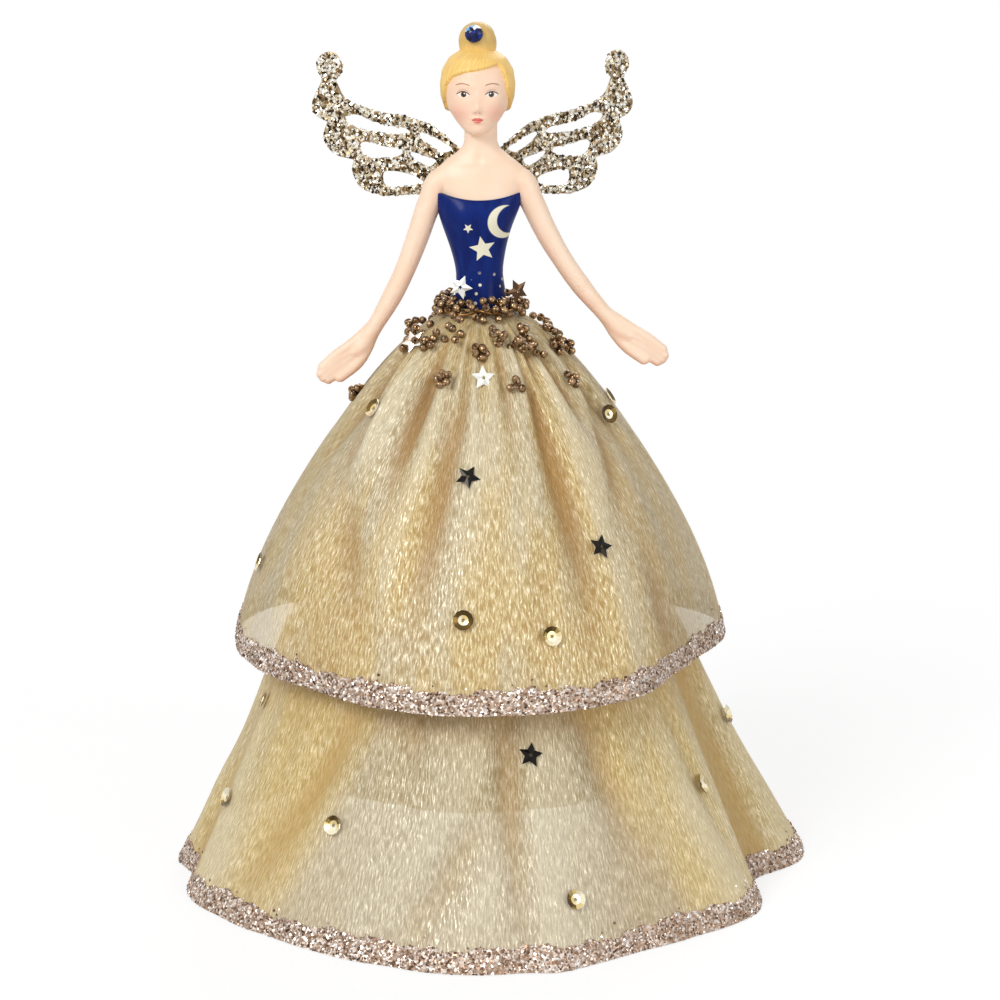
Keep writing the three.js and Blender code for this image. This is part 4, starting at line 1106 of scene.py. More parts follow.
# %% Bodice, hip flange and peg
PEG = 7.7
HALF_BUST = 9.7
bodice = grow([(WAIST + z, wide, deep, 0, y) for z, wide, deep, y in (
    (-18, PEG - 0.6, PEG - 0.6, 0), (-17.4, PEG, PEG, 0), (-10.05, PEG, PEG, 0),
    (-10, PEG + 0.1, PEG + 0.1, 0), (-10, 8.75, 8.75, 0), (-8.3, 8.8, 8.8, 0), (-6.5, 7.6, 7.6, 0),
    (-3.5, 6.2, 6.2, 0), (1.6, 6.2, 5.8, 0), (5, 5.85, 5.3, 0), (8.75, 5.65, 4.9, 0), (11.6, 6.1, 5.05, 0),
    (14.6, 6.7, 5.3, -0.1), (17.5, 7.5, 5.75, -0.3), (20.1, 8.2, 6.05, -0.5), (22.2, 8.8, 6.1, -0.6),
    (24.1, 9.3, 6.0, -0.6), (25.6, 9.6, 5.75, -0.5), (26.5, 9.75, 5.5, -0.4), (26.7, 9.6, 5.35, -0.4),
    (26.6, 9.0, 4.8, -0.4))], 64)
points = read_points(bodice)
rise = np.clip((points[:, 2] - WAIST - 20) / 6.5, 0, 1)
points[:, 2] += rise * (1.7 * (points[:, 0] / HALF_BUST) ** 2 - 0.3)
lean = np.clip((points[:, 2] - WAIST - 10) / 12, 0, 1)
points[:, 0] -= 0.5 * lean * (1 - points[:, 0] / HALF_BUST)
slim = np.interp(points[:, 2] - WAIST, (4, 8, 19, 25), (0, 0.13, 0.13, 0))
points[:, 0] *= np.where(points[:, 0] > 0, 1 - slim, 1)
write_points(bodice, points)
work(bodice, "SUBSURF", levels=1, render_levels=1)
points = read_points(bodice)
for side in (-1, 1):
    points = press(points, (side * 4.3, -6.4, WAIST + 23), (3.0, 3.5, 3.0), (side * 0.1, -0.7, 0))
write_points(bodice, points)
complete(bodice, "enamelled_bodice", [enamel], ["figure_casting"], angle=40)

# %% [markdown]
# # The head
# The head is grown as rings too, remeshed finely, then pressed like clay: sockets in, brow, nose,
# lips, cheeks and chin out. The face is painted: brows, lashes and lips are thin strokes of paint, so
# they are masks in the finish, measured from the middle of the face.

# %% Head form
HEAD_X = -0.7
CHIN = WAIST + 41.2
EYE, MOUTH = WAIST + 50.6, WAIST + 44.8
EYE_APART = 3.25
head = grow([(CHIN + z, wide, deep, HEAD_X, y) for z, wide, deep, y in (
    (0.0, 1.5, 1.5, -3.8), (0.5, 2.5, 2.6, -3.3), (1.4, 3.6, 3.8, -2.5), (3.1, 5.0, 5.2, -1.5),
    (5.7, 6.75, 6.6, -0.6), (8.5, 7.7, 7.3, 0), (11.3, 7.9, 7.6, 0.3), (14.3, 7.4, 7.25, 0.5),
    (16.6, 6.0, 5.85, 0.6), (18.1, 3.7, 3.6, 0.7), (18.9, 1.2, 1.2, 0.7))])
melt(head, 0.24, 10)
print("head points:", len(read_points(head)))

# %% [markdown]
# The pressing goes in pairs first: eye sockets in, eyeballs and brows out, then cheeks and the wings
# of the nose. The bridge and tip of the nose, the two lips, the line between them and the chin lie in
# the middle.

# %% Press the face
points = read_points(head)
for side in (-1, 1):
    eye = HEAD_X + side * EYE_APART
    points = press(points, (eye, -6.8, EYE), (1.7, 3, 1.1), (0, 0.42, 0))
    points = press(points, (eye, -6.8, EYE), (1.1, 3, 0.6), (0, -0.2, 0))
    points = press(points, (eye, -7.0, EYE + 2.0), (1.9, 3, 0.8), (0, -0.12, 0))
    points = press(points, (HEAD_X + side * 4.3, -5.6, EYE - 4.2), (2.0, 3, 2.0), (side * 0.12, -0.2, 0))
    points = press(points, (HEAD_X + side * 0.72, -7.2, EYE - 3.7), (0.42, 2, 0.42), (0, -0.34, 0))
points = press(points, (HEAD_X, -7.2, EYE - 1.2), (0.75, 3, 1.9), (0, -0.45, 0))
points = press(points, (HEAD_X, -7.2, EYE - 3.2), (0.8, 3, 0.85), (0, -0.8, 0.05))
points = press(points, (HEAD_X, -6.8, MOUTH + 0.35), (1.35, 3, 0.36), (0, -0.36, 0))
points = press(points, (HEAD_X, -6.6, MOUTH - 0.42), (1.1, 3, 0.4), (0, -0.4, 0))
points = press(points, (HEAD_X, -6.6, MOUTH), (1.5, 3, 0.14), (0, 0.22, 0))
points = press(points, (HEAD_X, -5.8, CHIN + 1.1), (1.5, 3, 0.9), (0, -0.35, 0))
write_points(head, points)
print("tip of the nose, mm forward:", round(-points[:, 1].min(), 1))

# %% [markdown]
# Both eyes are painted by one mask, because it counts distance from the middle of the face without its
# sign. An eye is the space between two arcs, with an iris, a pupil and a point of light in it, and
# lash, crease and brow are thin bands along arcs.

# %% Paint the eyes
face_paint, place, skin = skin_finish("face_paint")
x, y, z = parts(place)
across = x - HEAD_X
sideways = abs(across)
front = step(y, -2.5, -4.0)
dx, dz = sideways - EYE_APART, z - EYE
lid = 0.66 * (1 - (dx / 1.5) ** 2)
white = step(lid - abs(dz), -0.06, 0.06)
gaze = ((dx + 0.1) ** 2 + dz ** 2) ** 0.5
iris, pupil = step(gaze, 0.68, 0.56), step(gaze, 0.4, 0.3)
catch = disc(sideways, z, (EYE_APART - 0.3, EYE + 0.24), 0.15, 0.05)
lash = step(abs(dz - lid), 0.17, 0.1) * step(abs(dx), 1.75, 1.6) * step(z, EYE - 0.1, EYE + 0.1)
crease = step(abs(dz - lid - 0.45), 0.13, 0.06) * step(abs(dx), 1.5, 1.1) * 0.45
brow_line = abs(dz - 2.05 - 0.4 * (1 - ((dx - 0.1) / 1.6) ** 2))
brow = step(brow_line, 0.2, 0.1) * step(abs(dx - 0.1), 1.75, 1.3) * 0.8
print("eyes drawn")

# %% [markdown]
# The lips are two arcs that meet on the line of the mouth, the upper one with a small dip in its middle.
# The cheeks are rouged and the nostrils touched in.

# %% Paint the mouth and cheeks
mx, mz = across, z - MOUTH
bow_lip = 0.62 * (1 - (mx / 1.42) ** 2) + 0.14 * step(abs(mx), 0.0, 0.35) - 0.12
upper_lip = step(bow_lip - mz, -0.05, 0.06) * step(mz, -0.02, 0.04)
lower_lip = step(0.72 * (1 - (mx / 1.25) ** 2) + mz, -0.05, 0.06) * step(mz, 0.04, -0.02)
lips = x.maths("MAXIMUM", upper_lip, lower_lip)
mouth_line = step(abs(mz), 0.1, 0.04) * step(abs(mx), 1.45, 1.2)
cheek = ((sideways - 4.3) ** 2 + (z - EYE + 4.3) ** 2) ** 0.5
nostril = disc(sideways, z, (0.5, EYE - 4.1), 0.22, 0.12)
print("mouth drawn")

# %% [markdown]
# A painter lays the colours one over another, and so do these mixes: skin and rouge first, then the
# soft lines, then the eyes, and the lashes and lips last. Wet-looking eyes and lips are smoother.

# %% Face finish
skin = mix(step(cheek, 3.2, 0.3) * 0.5, mix(front * 0.5, skin, shade(250, 206, 178)), shade(240, 170, 148))
skin = mix(nostril * 0.4, skin, shade(190, 110, 90))
skin = mix(crease, skin, shade(170, 118, 92))
skin = mix(brow * front, skin, shade(150, 104, 66))
skin = mix(white * front * 0.8, skin, shade(250, 240, 232))
eyes = mix(pupil, shade(86, 56, 42), shade(30, 20, 18))
skin = mix(iris * white * front, skin, eyes)
skin = mix(catch * front, skin, shade(255, 255, 255))
skin = mix(lash * front, skin, shade(52, 34, 26))
skin = mix(lips * front, skin, shade(232, 122, 110))
skin = mix(mouth_line * front * 0.8, skin, shade(186, 76, 72))
grain = noise(place, 3.0, 3)
feed(face_paint, {"Base Color": skin,
                  "Roughness": 0.4 + grain * 0.12 - lips * 0.15 - white * front * 0.25,
                  "Normal": bump(grain, 0.12, 0.03)})
print("face finish ready")

# %% [markdown]
# # Hair
# The hair is cast on the head as a smooth cap, parted high on one side and swept across the brow. A
# copy of the head is the quickest start: it is swollen outwards where there is hair and sunk below
# the skin where there is none, so the hairline falls exactly where the two cross. Combed grooves run
# from the hairline up to the bun.

# %% Hair cap
HAIRLINE = np.array([(-8.6, 180.5), (-7.6, 182.6), (-6.9, 186.2), (-5.4, 188.3), (-3, 189.3), (0, 189.8),
                     (2.6, 190.4), (4.3, 190.9), (5.3, 189.8), (6.1, 187.6), (6.6, 184.4), (7.6, 182.2),
                     (8.6, 180.5)])
BUN_Z, BUN_Y = WAIST + 57.8, 1.2
COMB_X, COMB_Y = HEAD_X + 2.0, BUN_Y - 1.5
SUNK, SWOLLEN = -0.55, 1.32
hold(head)
bpy.ops.object.duplicate()
hair = bpy.context.object
points, normals = read_points(hair), read_normals(hair)
front_edge = points[:, 2] - np.interp(points[:, 0] - HEAD_X, *HAIRLINE.T)
side_edge = points[:, 2] - (CHIN + 5.6 - 0.28 * (points[:, 1] + 1))
blend = np.clip((points[:, 1] + 3.6) / 2.4, 0, 1)
edge = front_edge * (1 - blend) + side_edge * blend
cover = np.clip((edge + 0.25) / 0.6, 0, 1)
cover = cover * cover * (3 - 2 * cover)
comb_angle = np.arctan2(points[:, 0] - COMB_X, COMB_Y - points[:, 1])
groove = 0.5 + 0.5 * np.cos(comb_angle * 34 + 1.2 * np.sin(points[:, 2] * 0.9))
swell = SUNK + cover * (SWOLLEN - 0.05 * groove)
write_points(hair, points + normals * swell[:, None])
underside_shade(head, np.zeros(len(read_points(head))))
complete(head, "painted_head", [face_paint], ["figure_casting"], angle=180)

# %% [markdown]
# Blonde paint was brushed over the grooves; its strands run out from the same middle as the grooves.
# Lower down, towards the nape, it is darker, a painted shade, and on top of the bun it is browner.

# %% Hair finish
hair_paint, start = new_finish("hair_paint", {"Coat Weight": 0.15, "Coat Roughness": 0.3})
place = where(start)
x, y, z = parts(place)
angle = x.maths("ARCTAN2", x - COMB_X, COMB_Y - y)
strand = noise(vector(angle * 26, z * 0.35), 1, 3)
patch = noise(place, 0.22, 2)
hair_colour = mix(step(strand, 0.3, 0.72), shade(236, 188, 100), shade(254, 218, 132))
hair_colour = mix(step(z, WAIST + 59.5, WAIST + 62.5) * 0.75, hair_colour, shade(196, 162, 92))
# painted shade: the hair is darker lower down, towards the nape
hair_colour = mix(step(z, WAIST + 53, WAIST + 47) * 0.55, hair_colour, shade(200, 152, 88))
feed(hair_paint, {"Base Color": mix(patch * 0.25, hair_colour, shade(240, 190, 100)),
                  "Roughness": 0.36 + strand * 0.22,
                  "Normal": bump(strand, 0.25, 0.15)})
complete(hair, "combed_hair", [hair_paint], ["figure_casting"], angle=180)

# %% [markdown]
# The bun is a low dome of rings. A groove that climbs as it goes round makes it look wound.

# %% Bun
BUN_TALL, GROOVE = 8.5, 0.05
bun = grow([(BUN_Z + BUN_TALL * share, radius, radius, HEAD_X, BUN_Y) for share, radius in (
    (0, 3.6), (0.14, 4.0), (0.35, 4.35), (0.58, 4.4), (0.8, 3.7), (0.94, 2.3), (1, 0.9))], 48)
work(bun, "SUBSURF", levels=2, render_levels=2)
points = read_points(bun)
dx, dy = points[:, 0] - HEAD_X, points[:, 1] - BUN_Y
wound = np.arctan2(dx, -dy) * 5 + (points[:, 2] - BUN_Z) * 0.8
shrink = 1 - GROOVE * (0.5 + 0.5 * np.cos(wound)) ** 3
points[:, 0], points[:, 1] = HEAD_X + dx * shrink, BUN_Y + dy * shrink
write_points(bun, points)
complete(bun, "wound_bun", [hair_paint], ["figure_casting"], angle=180)

# %% [markdown]
# # Places taken from the solids
# Small trimmings are set where the measured ones are. The thinnest way through a node's points is the
# way it faces, and the point that lies furthest out, such as a star's tip, says how it is turned.

# %% Where a trimming sits
def unit(way):
    return way / np.linalg.norm(way)


def seat_of(node):
    points = read_points(frame["nodes"][node])
    middle = (points.min(0) + points.max(0)) / 2
    away = points - points.mean(0)
    facing = np.linalg.svd(away, full_matrices=False)[2][2]
    outwards = np.array([middle[0], middle[1], 0.35 * np.linalg.norm(middle[:2])])
    facing = facing if facing @ outwards > 0 else -facing
    tip = away[np.argmax((away ** 2).sum(1))]
    return middle, facing, unit(tip - facing * (tip @ facing))


def settle(cloth, middle, facing):
    """Slides a place along the way it faces until it lies on the cloth."""
    bpy.context.view_layer.update()
    hit, place, _, _ = cloth.ray_cast(Vector((middle + facing * 4) * MM), Vector(-facing))
    return np.array(place) / MM if hit else middle


def turned(points, middle, facing, across):
    """Points of a pattern that lies flat, as they come to lie on a seat."""
    return points @ np.stack([across, np.cross(facing, across), facing], 1).T + middle


def set_down(pattern, name, middle, facing, across):
    """A copy of a pattern piece, with its own mesh, set on a seat."""
    hold(pattern)
    bpy.ops.object.duplicate()
    copy = bpy.context.object
    write_points(copy, turned(read_points(pattern), middle, facing, across))
    copy.name = name
    return copy

# %% [markdown]
# # The stone on the bun
# A dark blue faceted stone is glued to the front of the bun. Facets come free from a convex hull: a
# few rings of points, each turned half a step, are wrapped, and every flat between them is a facet.
# The foil behind a real stone makes some facets flash, so each facet gets its own tone, from the stone's
# dark blue up to a painted flash of reflected light.

# %% Stone
# the stone's own dark blue, and lighter tones that are painted reflections up to white
STONE_AND_FLASH_TONES = [(0.0, shade(6, 8, 44)), (0.4, shade(14, 26, 96)), (0.58, shade(24, 60, 150)),
               (0.74, shade(96, 170, 230)), (1.0, shade(250, 252, 255))]
STONE_RINGS = [(0.35, 16, 2.1, 0), (0.75, 16, 2.05, 0), (1.25, 8, 1.75, 22.5), (1.6, 8, 1.15, 0),
               (1.8, 4, 0.45, 20), (0.0, 8, 1.6, 0)]
stone, start = new_finish("blue_stone", {"Roughness": 0.06, "Specular IOR Level": 0.3})
feed(stone, {"Base Color": ramp(kept(start, "tone"), STONE_AND_FLASH_TONES)})
let_go()
gem_rings = []
for height, count, radius, turn in STONE_RINGS:
    bpy.ops.mesh.primitive_circle_add(vertices=count, radius=radius * MM, location=(0, 0, height * MM),
                                      rotation=(0, 0, math.radians(turn)))
    gem_rings.append(bpy.context.object)
hold(*gem_rings)
bpy.ops.object.transform_apply(location=True, rotation=True, scale=True)
gem = join(*gem_rings)
open_up(gem)
bpy.ops.mesh.convex_hull()
bpy.ops.mesh.dissolve_limited(angle_limit=math.radians(3))
close_up()
print("facets:", len(gem.data.polygons))

# %% [markdown]
# A facet that leans to the upper left is painted lighter, a painted reflection of the key lamp, and a
# seeded draw adds painted flashes. The stone is then set on its seat, a little into the glue.

# %% Set the stone
GLUED_IN, GEM_SHIFT = 1.1, (HEAD_X - 0.8, 0, 0.4)
tones = gem.data.attributes.new("tone", "FLOAT", "FACE")
flash = np.random.default_rng(8)
for face, value in zip(gem.data.polygons, tones.data):
    lean = face.normal
    value.value = float(np.clip(0.38 + 0.5 * (lean.y * 0.6 - lean.x * 0.8) + flash.normal() * 0.26, 0, 1))
middle, facing, _ = seat_of("hair_gem")
gem_seat = middle + np.array(GEM_SHIFT) - facing * GLUED_IN
across = unit(np.cross((0.35, 1, 0.2), facing))
write_points(gem, turned(read_points(gem), gem_seat, facing, across))
complete(gem, "bun_stone", [stone], ["hair_gem"], angle=2)

# %% [markdown]
# # Wings
# The wings are cut from one soft metal sheet, with a tab between them that is glued to the back, and
# coated with coarse glitter. Each is an outline of lobes with leaf-shaped openings, drawn flat as a
# filled curve, given thickness, and turned to its sweep at the bend. The flakes are darker bronze at
# the root and pale champagne towards the tip.

# %% Wing outline, in shares of the span
SPAN = 40.0
ROOT = 4.75 / SPAN
LOBES = [[(0.008, -ROOT), (0.15, -0.104), (0.325, -0.137), (0.55, -0.162)],
         [(0.55, -0.162), (0.69, -0.125), (0.75, -0.03), (0.74, 0.04)],
         [(0.74, 0.04), (0.87, 0.068), (0.942, 0.155), (0.915, 0.255)],
         [(0.915, 0.255), (0.995, 0.292), (1.015, 0.365), (0.95, 0.49)]]
RETURN = [[(0.86, 0.5), (0.81, 0.41), (0.725, 0.365)],
          [(0.725, 0.365), (0.56, 0.328), (0.4, 0.312), (0.255, 0.275), (0.13, 0.205), (0.008, ROOT)]]
BALL = (0.9, 0.58), 3.3 / SPAN
OPENINGS = [[(0.8, 0.288), (0.74, 0.306), (0.69, 0.302), (0.62, 0.276), (0.5, 0.256), (0.4, 0.244),
             (0.365, 0.218), (0.44, 0.202), (0.56, 0.206), (0.68, 0.219), (0.765, 0.248)],
            [(0.31, 0.205), (0.285, 0.223), (0.2, 0.2), (0.12, 0.163), (0.09, 0.137), (0.14, 0.115),
             (0.19, 0.126), (0.25, 0.156)],
            [(0.705, 0.125), (0.675, 0.149), (0.6, 0.146), (0.5, 0.129), (0.43, 0.122), (0.415, 0.1),
             (0.45, 0.076), (0.54, 0.061), (0.635, 0.056), (0.688, 0.085)],
            [(0.372, 0.098), (0.34, 0.106), (0.25, 0.086), (0.198, 0.066), (0.235, 0.03), (0.29, 0.04),
             (0.35, 0.07)],
            [(0.552, -0.06), (0.542, -0.02), (0.47, -0.011), (0.4, -0.018), (0.33, -0.034), (0.3, -0.058),
             (0.335, -0.088), (0.42, -0.103), (0.5, -0.108), (0.54, -0.095)]]
print("openings in a wing:", len(OPENINGS))

# %% [markdown]
# Few points are drawn, and a smooth line is led through them. Each lobe is a line of its own, so that
# the corners between lobes stay sharp.

# %% Lead a line through points
def smooth_line(points, steps=10, closed=False):
    """A Catmull-Rom line through points, which is how a bent spline lies."""
    points = np.array(points)
    if closed:
        padded = np.concatenate([points[-1:], points, points[:2]])
    else:
        padded = np.concatenate([2 * points[:1] - points[1:2], points, 2 * points[-1:] - points[-2:-1]])
    line = []
    for a, b, c, d in zip(padded, padded[1:], padded[2:], padded[3:]):
        t = np.linspace(0, 1, steps, endpoint=False)[:, None]
        line.append(0.5 * (2 * b + (c - a) * t + (2 * a - 5 * b + 4 * c - d) * t ** 2
                           + (3 * b - a - 3 * c + d) * t ** 3))
    return np.concatenate(line if closed else line + [points[-1:]])


def wing_outline():
    turn = np.linspace(-0.9, math.pi + 1.0, 22)[:, None]
    ball = np.array(BALL[0]) + BALL[1] * np.concatenate([np.cos(turn), np.sin(turn)], 1)
    return np.concatenate([smooth_line(line) for line in LOBES] + [ball]
                          + [smooth_line(line) for line in RETURN]) * SPAN


wing_edges = [wing_outline()] + [smooth_line(line, 5, closed=True) * SPAN for line in OPENINGS]
print("points round a wing:", len(wing_edges[0]))

# %% [markdown]
# A filled curve with several outlines is cut like the real sheet: what lies inside two of them is a
# hole. Its small bevel is the softened edge of the metal.

# %% Cut a sheet
SHEET, SHEET_EDGE = 0.8, 0.1
TOO_CLOSE = 0.02
MERGED = 1e-7


def cut_sheet(outlines):
    """A flat sheet with holes, as a filled curve given thickness, made a mesh."""
    curve = bpy.data.curves.new("sheet", "CURVE")
    curve.dimensions = "2D"
    curve.fill_mode = "BOTH"
    curve.extrude = SHEET * MM / 2 - SHEET_EDGE * MM
    curve.bevel_depth = SHEET_EDGE * MM
    curve.offset = -SHEET_EDGE * MM
    for outline in outlines:
        apart = np.linalg.norm(np.diff(outline, axis=0), axis=1) > TOO_CLOSE
        outline = outline[np.concatenate([[True], apart])]
        spline = curve.splines.new("POLY")
        spline.points.add(len(outline) - 1)
        for point, (x, y) in zip(spline.points, outline):
            point.co = (x * MM, y * MM, 0, 1)
        spline.use_cyclic_u = True
    made = bpy.data.objects.new("sheet", curve)
    bpy.context.collection.objects.link(made)
    hold(made)
    bpy.ops.object.convert(target="MESH")
    made = bpy.context.object
    turn_out(made, MERGED)
    return made

# %% [markdown]
# Each wing is coated flat and only then swept back at its bend. Flakes stay a little in from the edges,
# and further in from the bend, where the flakes of wing and tab would cut into each other.

# %% Coat a wing
WING_TONES = [(0.0, shade(26, 20, 10)), (0.2, shade(84, 62, 30)), (0.34, shade(164, 130, 82)),
              (0.5, shade(222, 210, 182)), (0.75, shade(248, 243, 230)), (1.0, shade(255, 254, 250))]
WING_FLAKES, EDGE_CLEAR, ROOT_CLEAR = (0.55, 1.15), 0.3, 1.2
ROOT_DARK = 0.55
wing_glitter = glitter_finish("wing_glitter", WING_TONES, shade(150, 124, 84), 0.8)


def wing(name, node, side, sweep, seed):
    rng = np.random.default_rng(seed)
    joint = next(j for j in frame["joints"] if j["name"] == node + "_bend")
    hinge = np.array(joint["pos_m"]) / MM
    sheet = cut_sheet(wing_edges)
    places, facing = spread_over(sheet, 4600, rng)
    edge = np.concatenate(wing_edges)
    clear = np.array([np.linalg.norm(edge - place[:2], axis=1).min() for place in places])
    free = (clear > EDGE_CLEAR) & (places[:, 0] > ROOT_CLEAR)
    flakes = strew("flakes", places[free], facing[free], rng, WING_FLAKES, 0.3)
    dull(flakes, 1 - ROOT_DARK * np.clip(1 - read_points(flakes)[:, 0] / (0.5 * SPAN), 0, 1))
    sheet.data.materials.append(wing_glitter[0])
    flakes.data.materials.append(wing_glitter[1])
    join(sheet, flakes)
    flat = read_points(sheet)
    swept = math.radians(sweep)
    out = flat[:, 0] * math.cos(swept) - flat[:, 2] * math.sin(swept)
    back = flat[:, 0] * math.sin(swept) + flat[:, 2] * math.cos(swept)
    write_points(sheet, np.stack([side * out, back, flat[:, 1]], -1) + hinge)
    turn_out(sheet)
    return complete(sheet, name, [], [node], body=node, angle=30)


wing("glittered_left_wing", "left_wing", -1, 26, 21)
wing("glittered_right_wing", "right_wing", 1, 37, 22)

# %% [markdown]
# The tab between the wings keeps its own plain solid's place. It is a small plate with softened edges
# and the same glitter coat, glued flat to the doll's back.

# %% Wing tab
TAB_EDGE, TAB_FLAKES = 0.2, (0.5, 1.0)
low, high = [np.array(corner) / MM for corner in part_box("wing_tab")]
let_go()
bpy.ops.mesh.primitive_cube_add(size=MM)
tab = bpy.context.object
open_up(tab)
bpy.ops.transform.resize(value=tuple(high - low), center_override=(0, 0, 0))
bpy.ops.transform.translate(value=tuple((low + high) / 2 * MM))
bpy.ops.mesh.bevel(offset=TAB_EDGE * MM, segments=2)
let_go()
rng = np.random.default_rng(23)
places, facing = spread_over(tab, 320, rng)
free = np.abs(places[:, 0]) < high[0] - ROOT_CLEAR / 2
flakes = strew("flakes", places[free], facing[free], rng, TAB_FLAKES, 0.3)
tab.data.materials.append(wing_glitter[0])
flakes.data.materials.append(wing_glitter[1])
complete(join(tab, flakes), "glittered_wing_tab", [], ["wing_tab"], angle=30)

# %% [markdown]
# # Beads
# The waist is hidden by a garland of bronze glass beads on wire, and small clusters of the same beads
# are sewn below it. A bead is a ring with a small hole, so it starts as a torus and is drawn out until
# it is round.

# %% Bead finish and pattern
BEAD = 0.95
HOLE_RING, HOLE_THICK, DRAWN_OUT = 0.5, 0.45, 1.85
bronze, start = new_finish("bronze_bead", {"Coat Weight": 0.4, "Coat Roughness": 0.04})
cloud = noise(where(start), 0.9, 3)
feed(bronze, {"Base Color": mix(step(cloud, 0.35, 0.65), shade(88, 64, 38), shade(178, 144, 104)),
              "Metallic": 0.7 + cloud * 0.25,
              "Roughness": 0.12 + cloud * 0.16})
let_go()
bpy.ops.mesh.primitive_torus_add(major_segments=12, minor_segments=8, major_radius=HOLE_RING * MM,
                                 minor_radius=HOLE_THICK * MM)
bead = bpy.context.object
bead.name = "pattern_bead"
open_up(bead)
bpy.ops.transform.resize(value=(1, 1, DRAWN_OUT), center_override=(0, 0, 0))
let_go()


def beads_at(name, places, rng):
    made = []
    for place in places:
        facing = unit(rng.normal(size=3))
        across = unit(np.cross(facing, (0.3, 0.9, 0.2)))
        made.append(set_down(bead, name, np.array(place), facing, across))
    return join(*made)


print("bead radius, mm:", BEAD)

# %% [markdown]
# The garland is a heap of beads wound round the waist. Beads are dropped at random in a ring on the
# cloth, thickest in its middle, and one is left out if it would sink into another.

# %% Heap the garland
GARLAND_BEADS, GARLAND_RING, GARLAND_TRIES = 90, (7.4, 10.6), 9000
BEAD_GAP = 1.72
rng = np.random.default_rng(31)
chosen = []
near_waist = np.linspace(0, 0.4, 80)
waist_radius = along(UPPER[0], near_waist)[0][:, 0]


def has_room(place):
    return all(np.linalg.norm(place - other) > BEAD_GAP for other in chosen)


for _ in range(GARLAND_TRIES):
    turn = rng.uniform(0, 2 * math.pi)
    radius = rng.uniform(*GARLAND_RING)
    ground = along(UPPER[0], np.interp(radius, waist_radius, near_waist))[0][1] + BEAD + 0.2
    heap = max(0.0, 3.6 - 0.55 * abs(radius - 9))
    place = np.array([radius * math.sin(turn), -radius * math.cos(turn), ground + rng.uniform(0, heap)])
    if has_room(place):
        chosen.append(place)
    if len(chosen) == GARLAND_BEADS:
        break
print("beads in the heap:", len(chosen))

# %% [markdown]
# Sprigs of three to six beads hang from the heap at places of their own, so its edge is not a plain
# ring. They lie on the folded cloth.

# %% Sprigs
SPRIGS = [(-38, 9, 4), (-26, 7, 4), (14, 9, 6), (26, 10, 4), (44, 8, 6), (-62, 13, 3), (42, 15, 4),
          (80, 10, 5), (104, 9, 4), (132, 10, 5), (164, 9, 4), (196, 10, 5), (226, 8, 4), (256, 10, 5),
          (288, 9, 4)]
SPRIG_SPREAD, SPRIG_TRIES = 1.3, 30
for azimuth, drop, count in SPRIGS:
    turn = math.radians(azimuth)
    t = np.interp(drop, *tape(UPPER[0])[::-1])
    root, _ = cloth_points(UPPER, np.array([azimuth]), np.array([t]))
    outward = np.array([math.sin(turn), -math.cos(turn), 0.9])
    for _ in range(count):
        for _ in range(SPRIG_TRIES):
            place = root[0] + outward * (BEAD * 0.9 + rng.uniform(0, 0.8))
            place = place + rng.normal(0, SPRIG_SPREAD, 3) * (1, 1, 0.8)
            if has_room(place):
                chosen.append(place)
                break
garland = beads_at("garland", chosen, rng)
garland.data.materials.append(bronze)
print("garland beads:", len(chosen))

# %% [markdown]
# The wire that the beads are strung on shows here and there between them. It is one limb that winds
# round the waist and wavers in and out and up and down.

# %% Wire
WIRE, WIRE_RADIUS, WAVER = 0.3, 9.2, 0.5
wire_finish, start = new_finish("bronze_wire", {"Metallic": 1.0})
drawn = noise(where(start), 4.0, 3)
feed(wire_finish, {"Base Color": mix(drawn, shade(120, 84, 44), shade(176, 134, 80)),
                   "Roughness": 0.25 + drawn * 0.2})
turn = np.linspace(0, 2 * math.pi, 73)
radius = WIRE_RADIUS + WAVER * np.sin(9 * turn)
path = np.stack([radius * np.sin(turn), -radius * np.cos(turn), WAIST + 0.9 + WAVER * np.cos(7 * turn)], -1)
wire = limb(path, [WIRE] * len(turn), 2)
wire.data.materials.append(wire_finish)
complete(join(garland, wire), "bead_garland", [], ["waist_garland"], angle=60)

# %% [markdown]
# The thread that ties the skirts is three plies wound round one another, as thread is.

# %% Thread
PLY, TURNS_ROUND = 0.2, 26
THREAD_RADIUS = 6.95
thread_finish, start = new_finish("gold_thread", {"Metallic": 0.3, "Sheen Weight": 0.3})
ply = noise(where(start), 3.0, 2)
feed(thread_finish, {"Base Color": mix(ply, shade(168, 122, 56), shade(222, 184, 112)),
                     "Roughness": 0.4 + ply * 0.2})
turn = np.linspace(0, 2 * math.pi, 260)
plies = []
for phase in (0, 2 * math.pi / 3, 4 * math.pi / 3):
    twist = TURNS_ROUND * turn + phase
    radius = THREAD_RADIUS + PLY * np.cos(twist)
    path = np.stack([radius * np.sin(turn), -radius * np.cos(turn), WAIST + 1.0 + PLY * np.sin(twist)], -1)
    plies.append(limb(path, [PLY] * len(turn), 1))
complete(join(*plies), "waist_thread", [thread_finish], ["waist_tie"], angle=60)

# %% [markdown]
# Below the waist small clusters are sewn to the cloth: a ring of three to five beads, and one more on
# top that the thread pulls down.

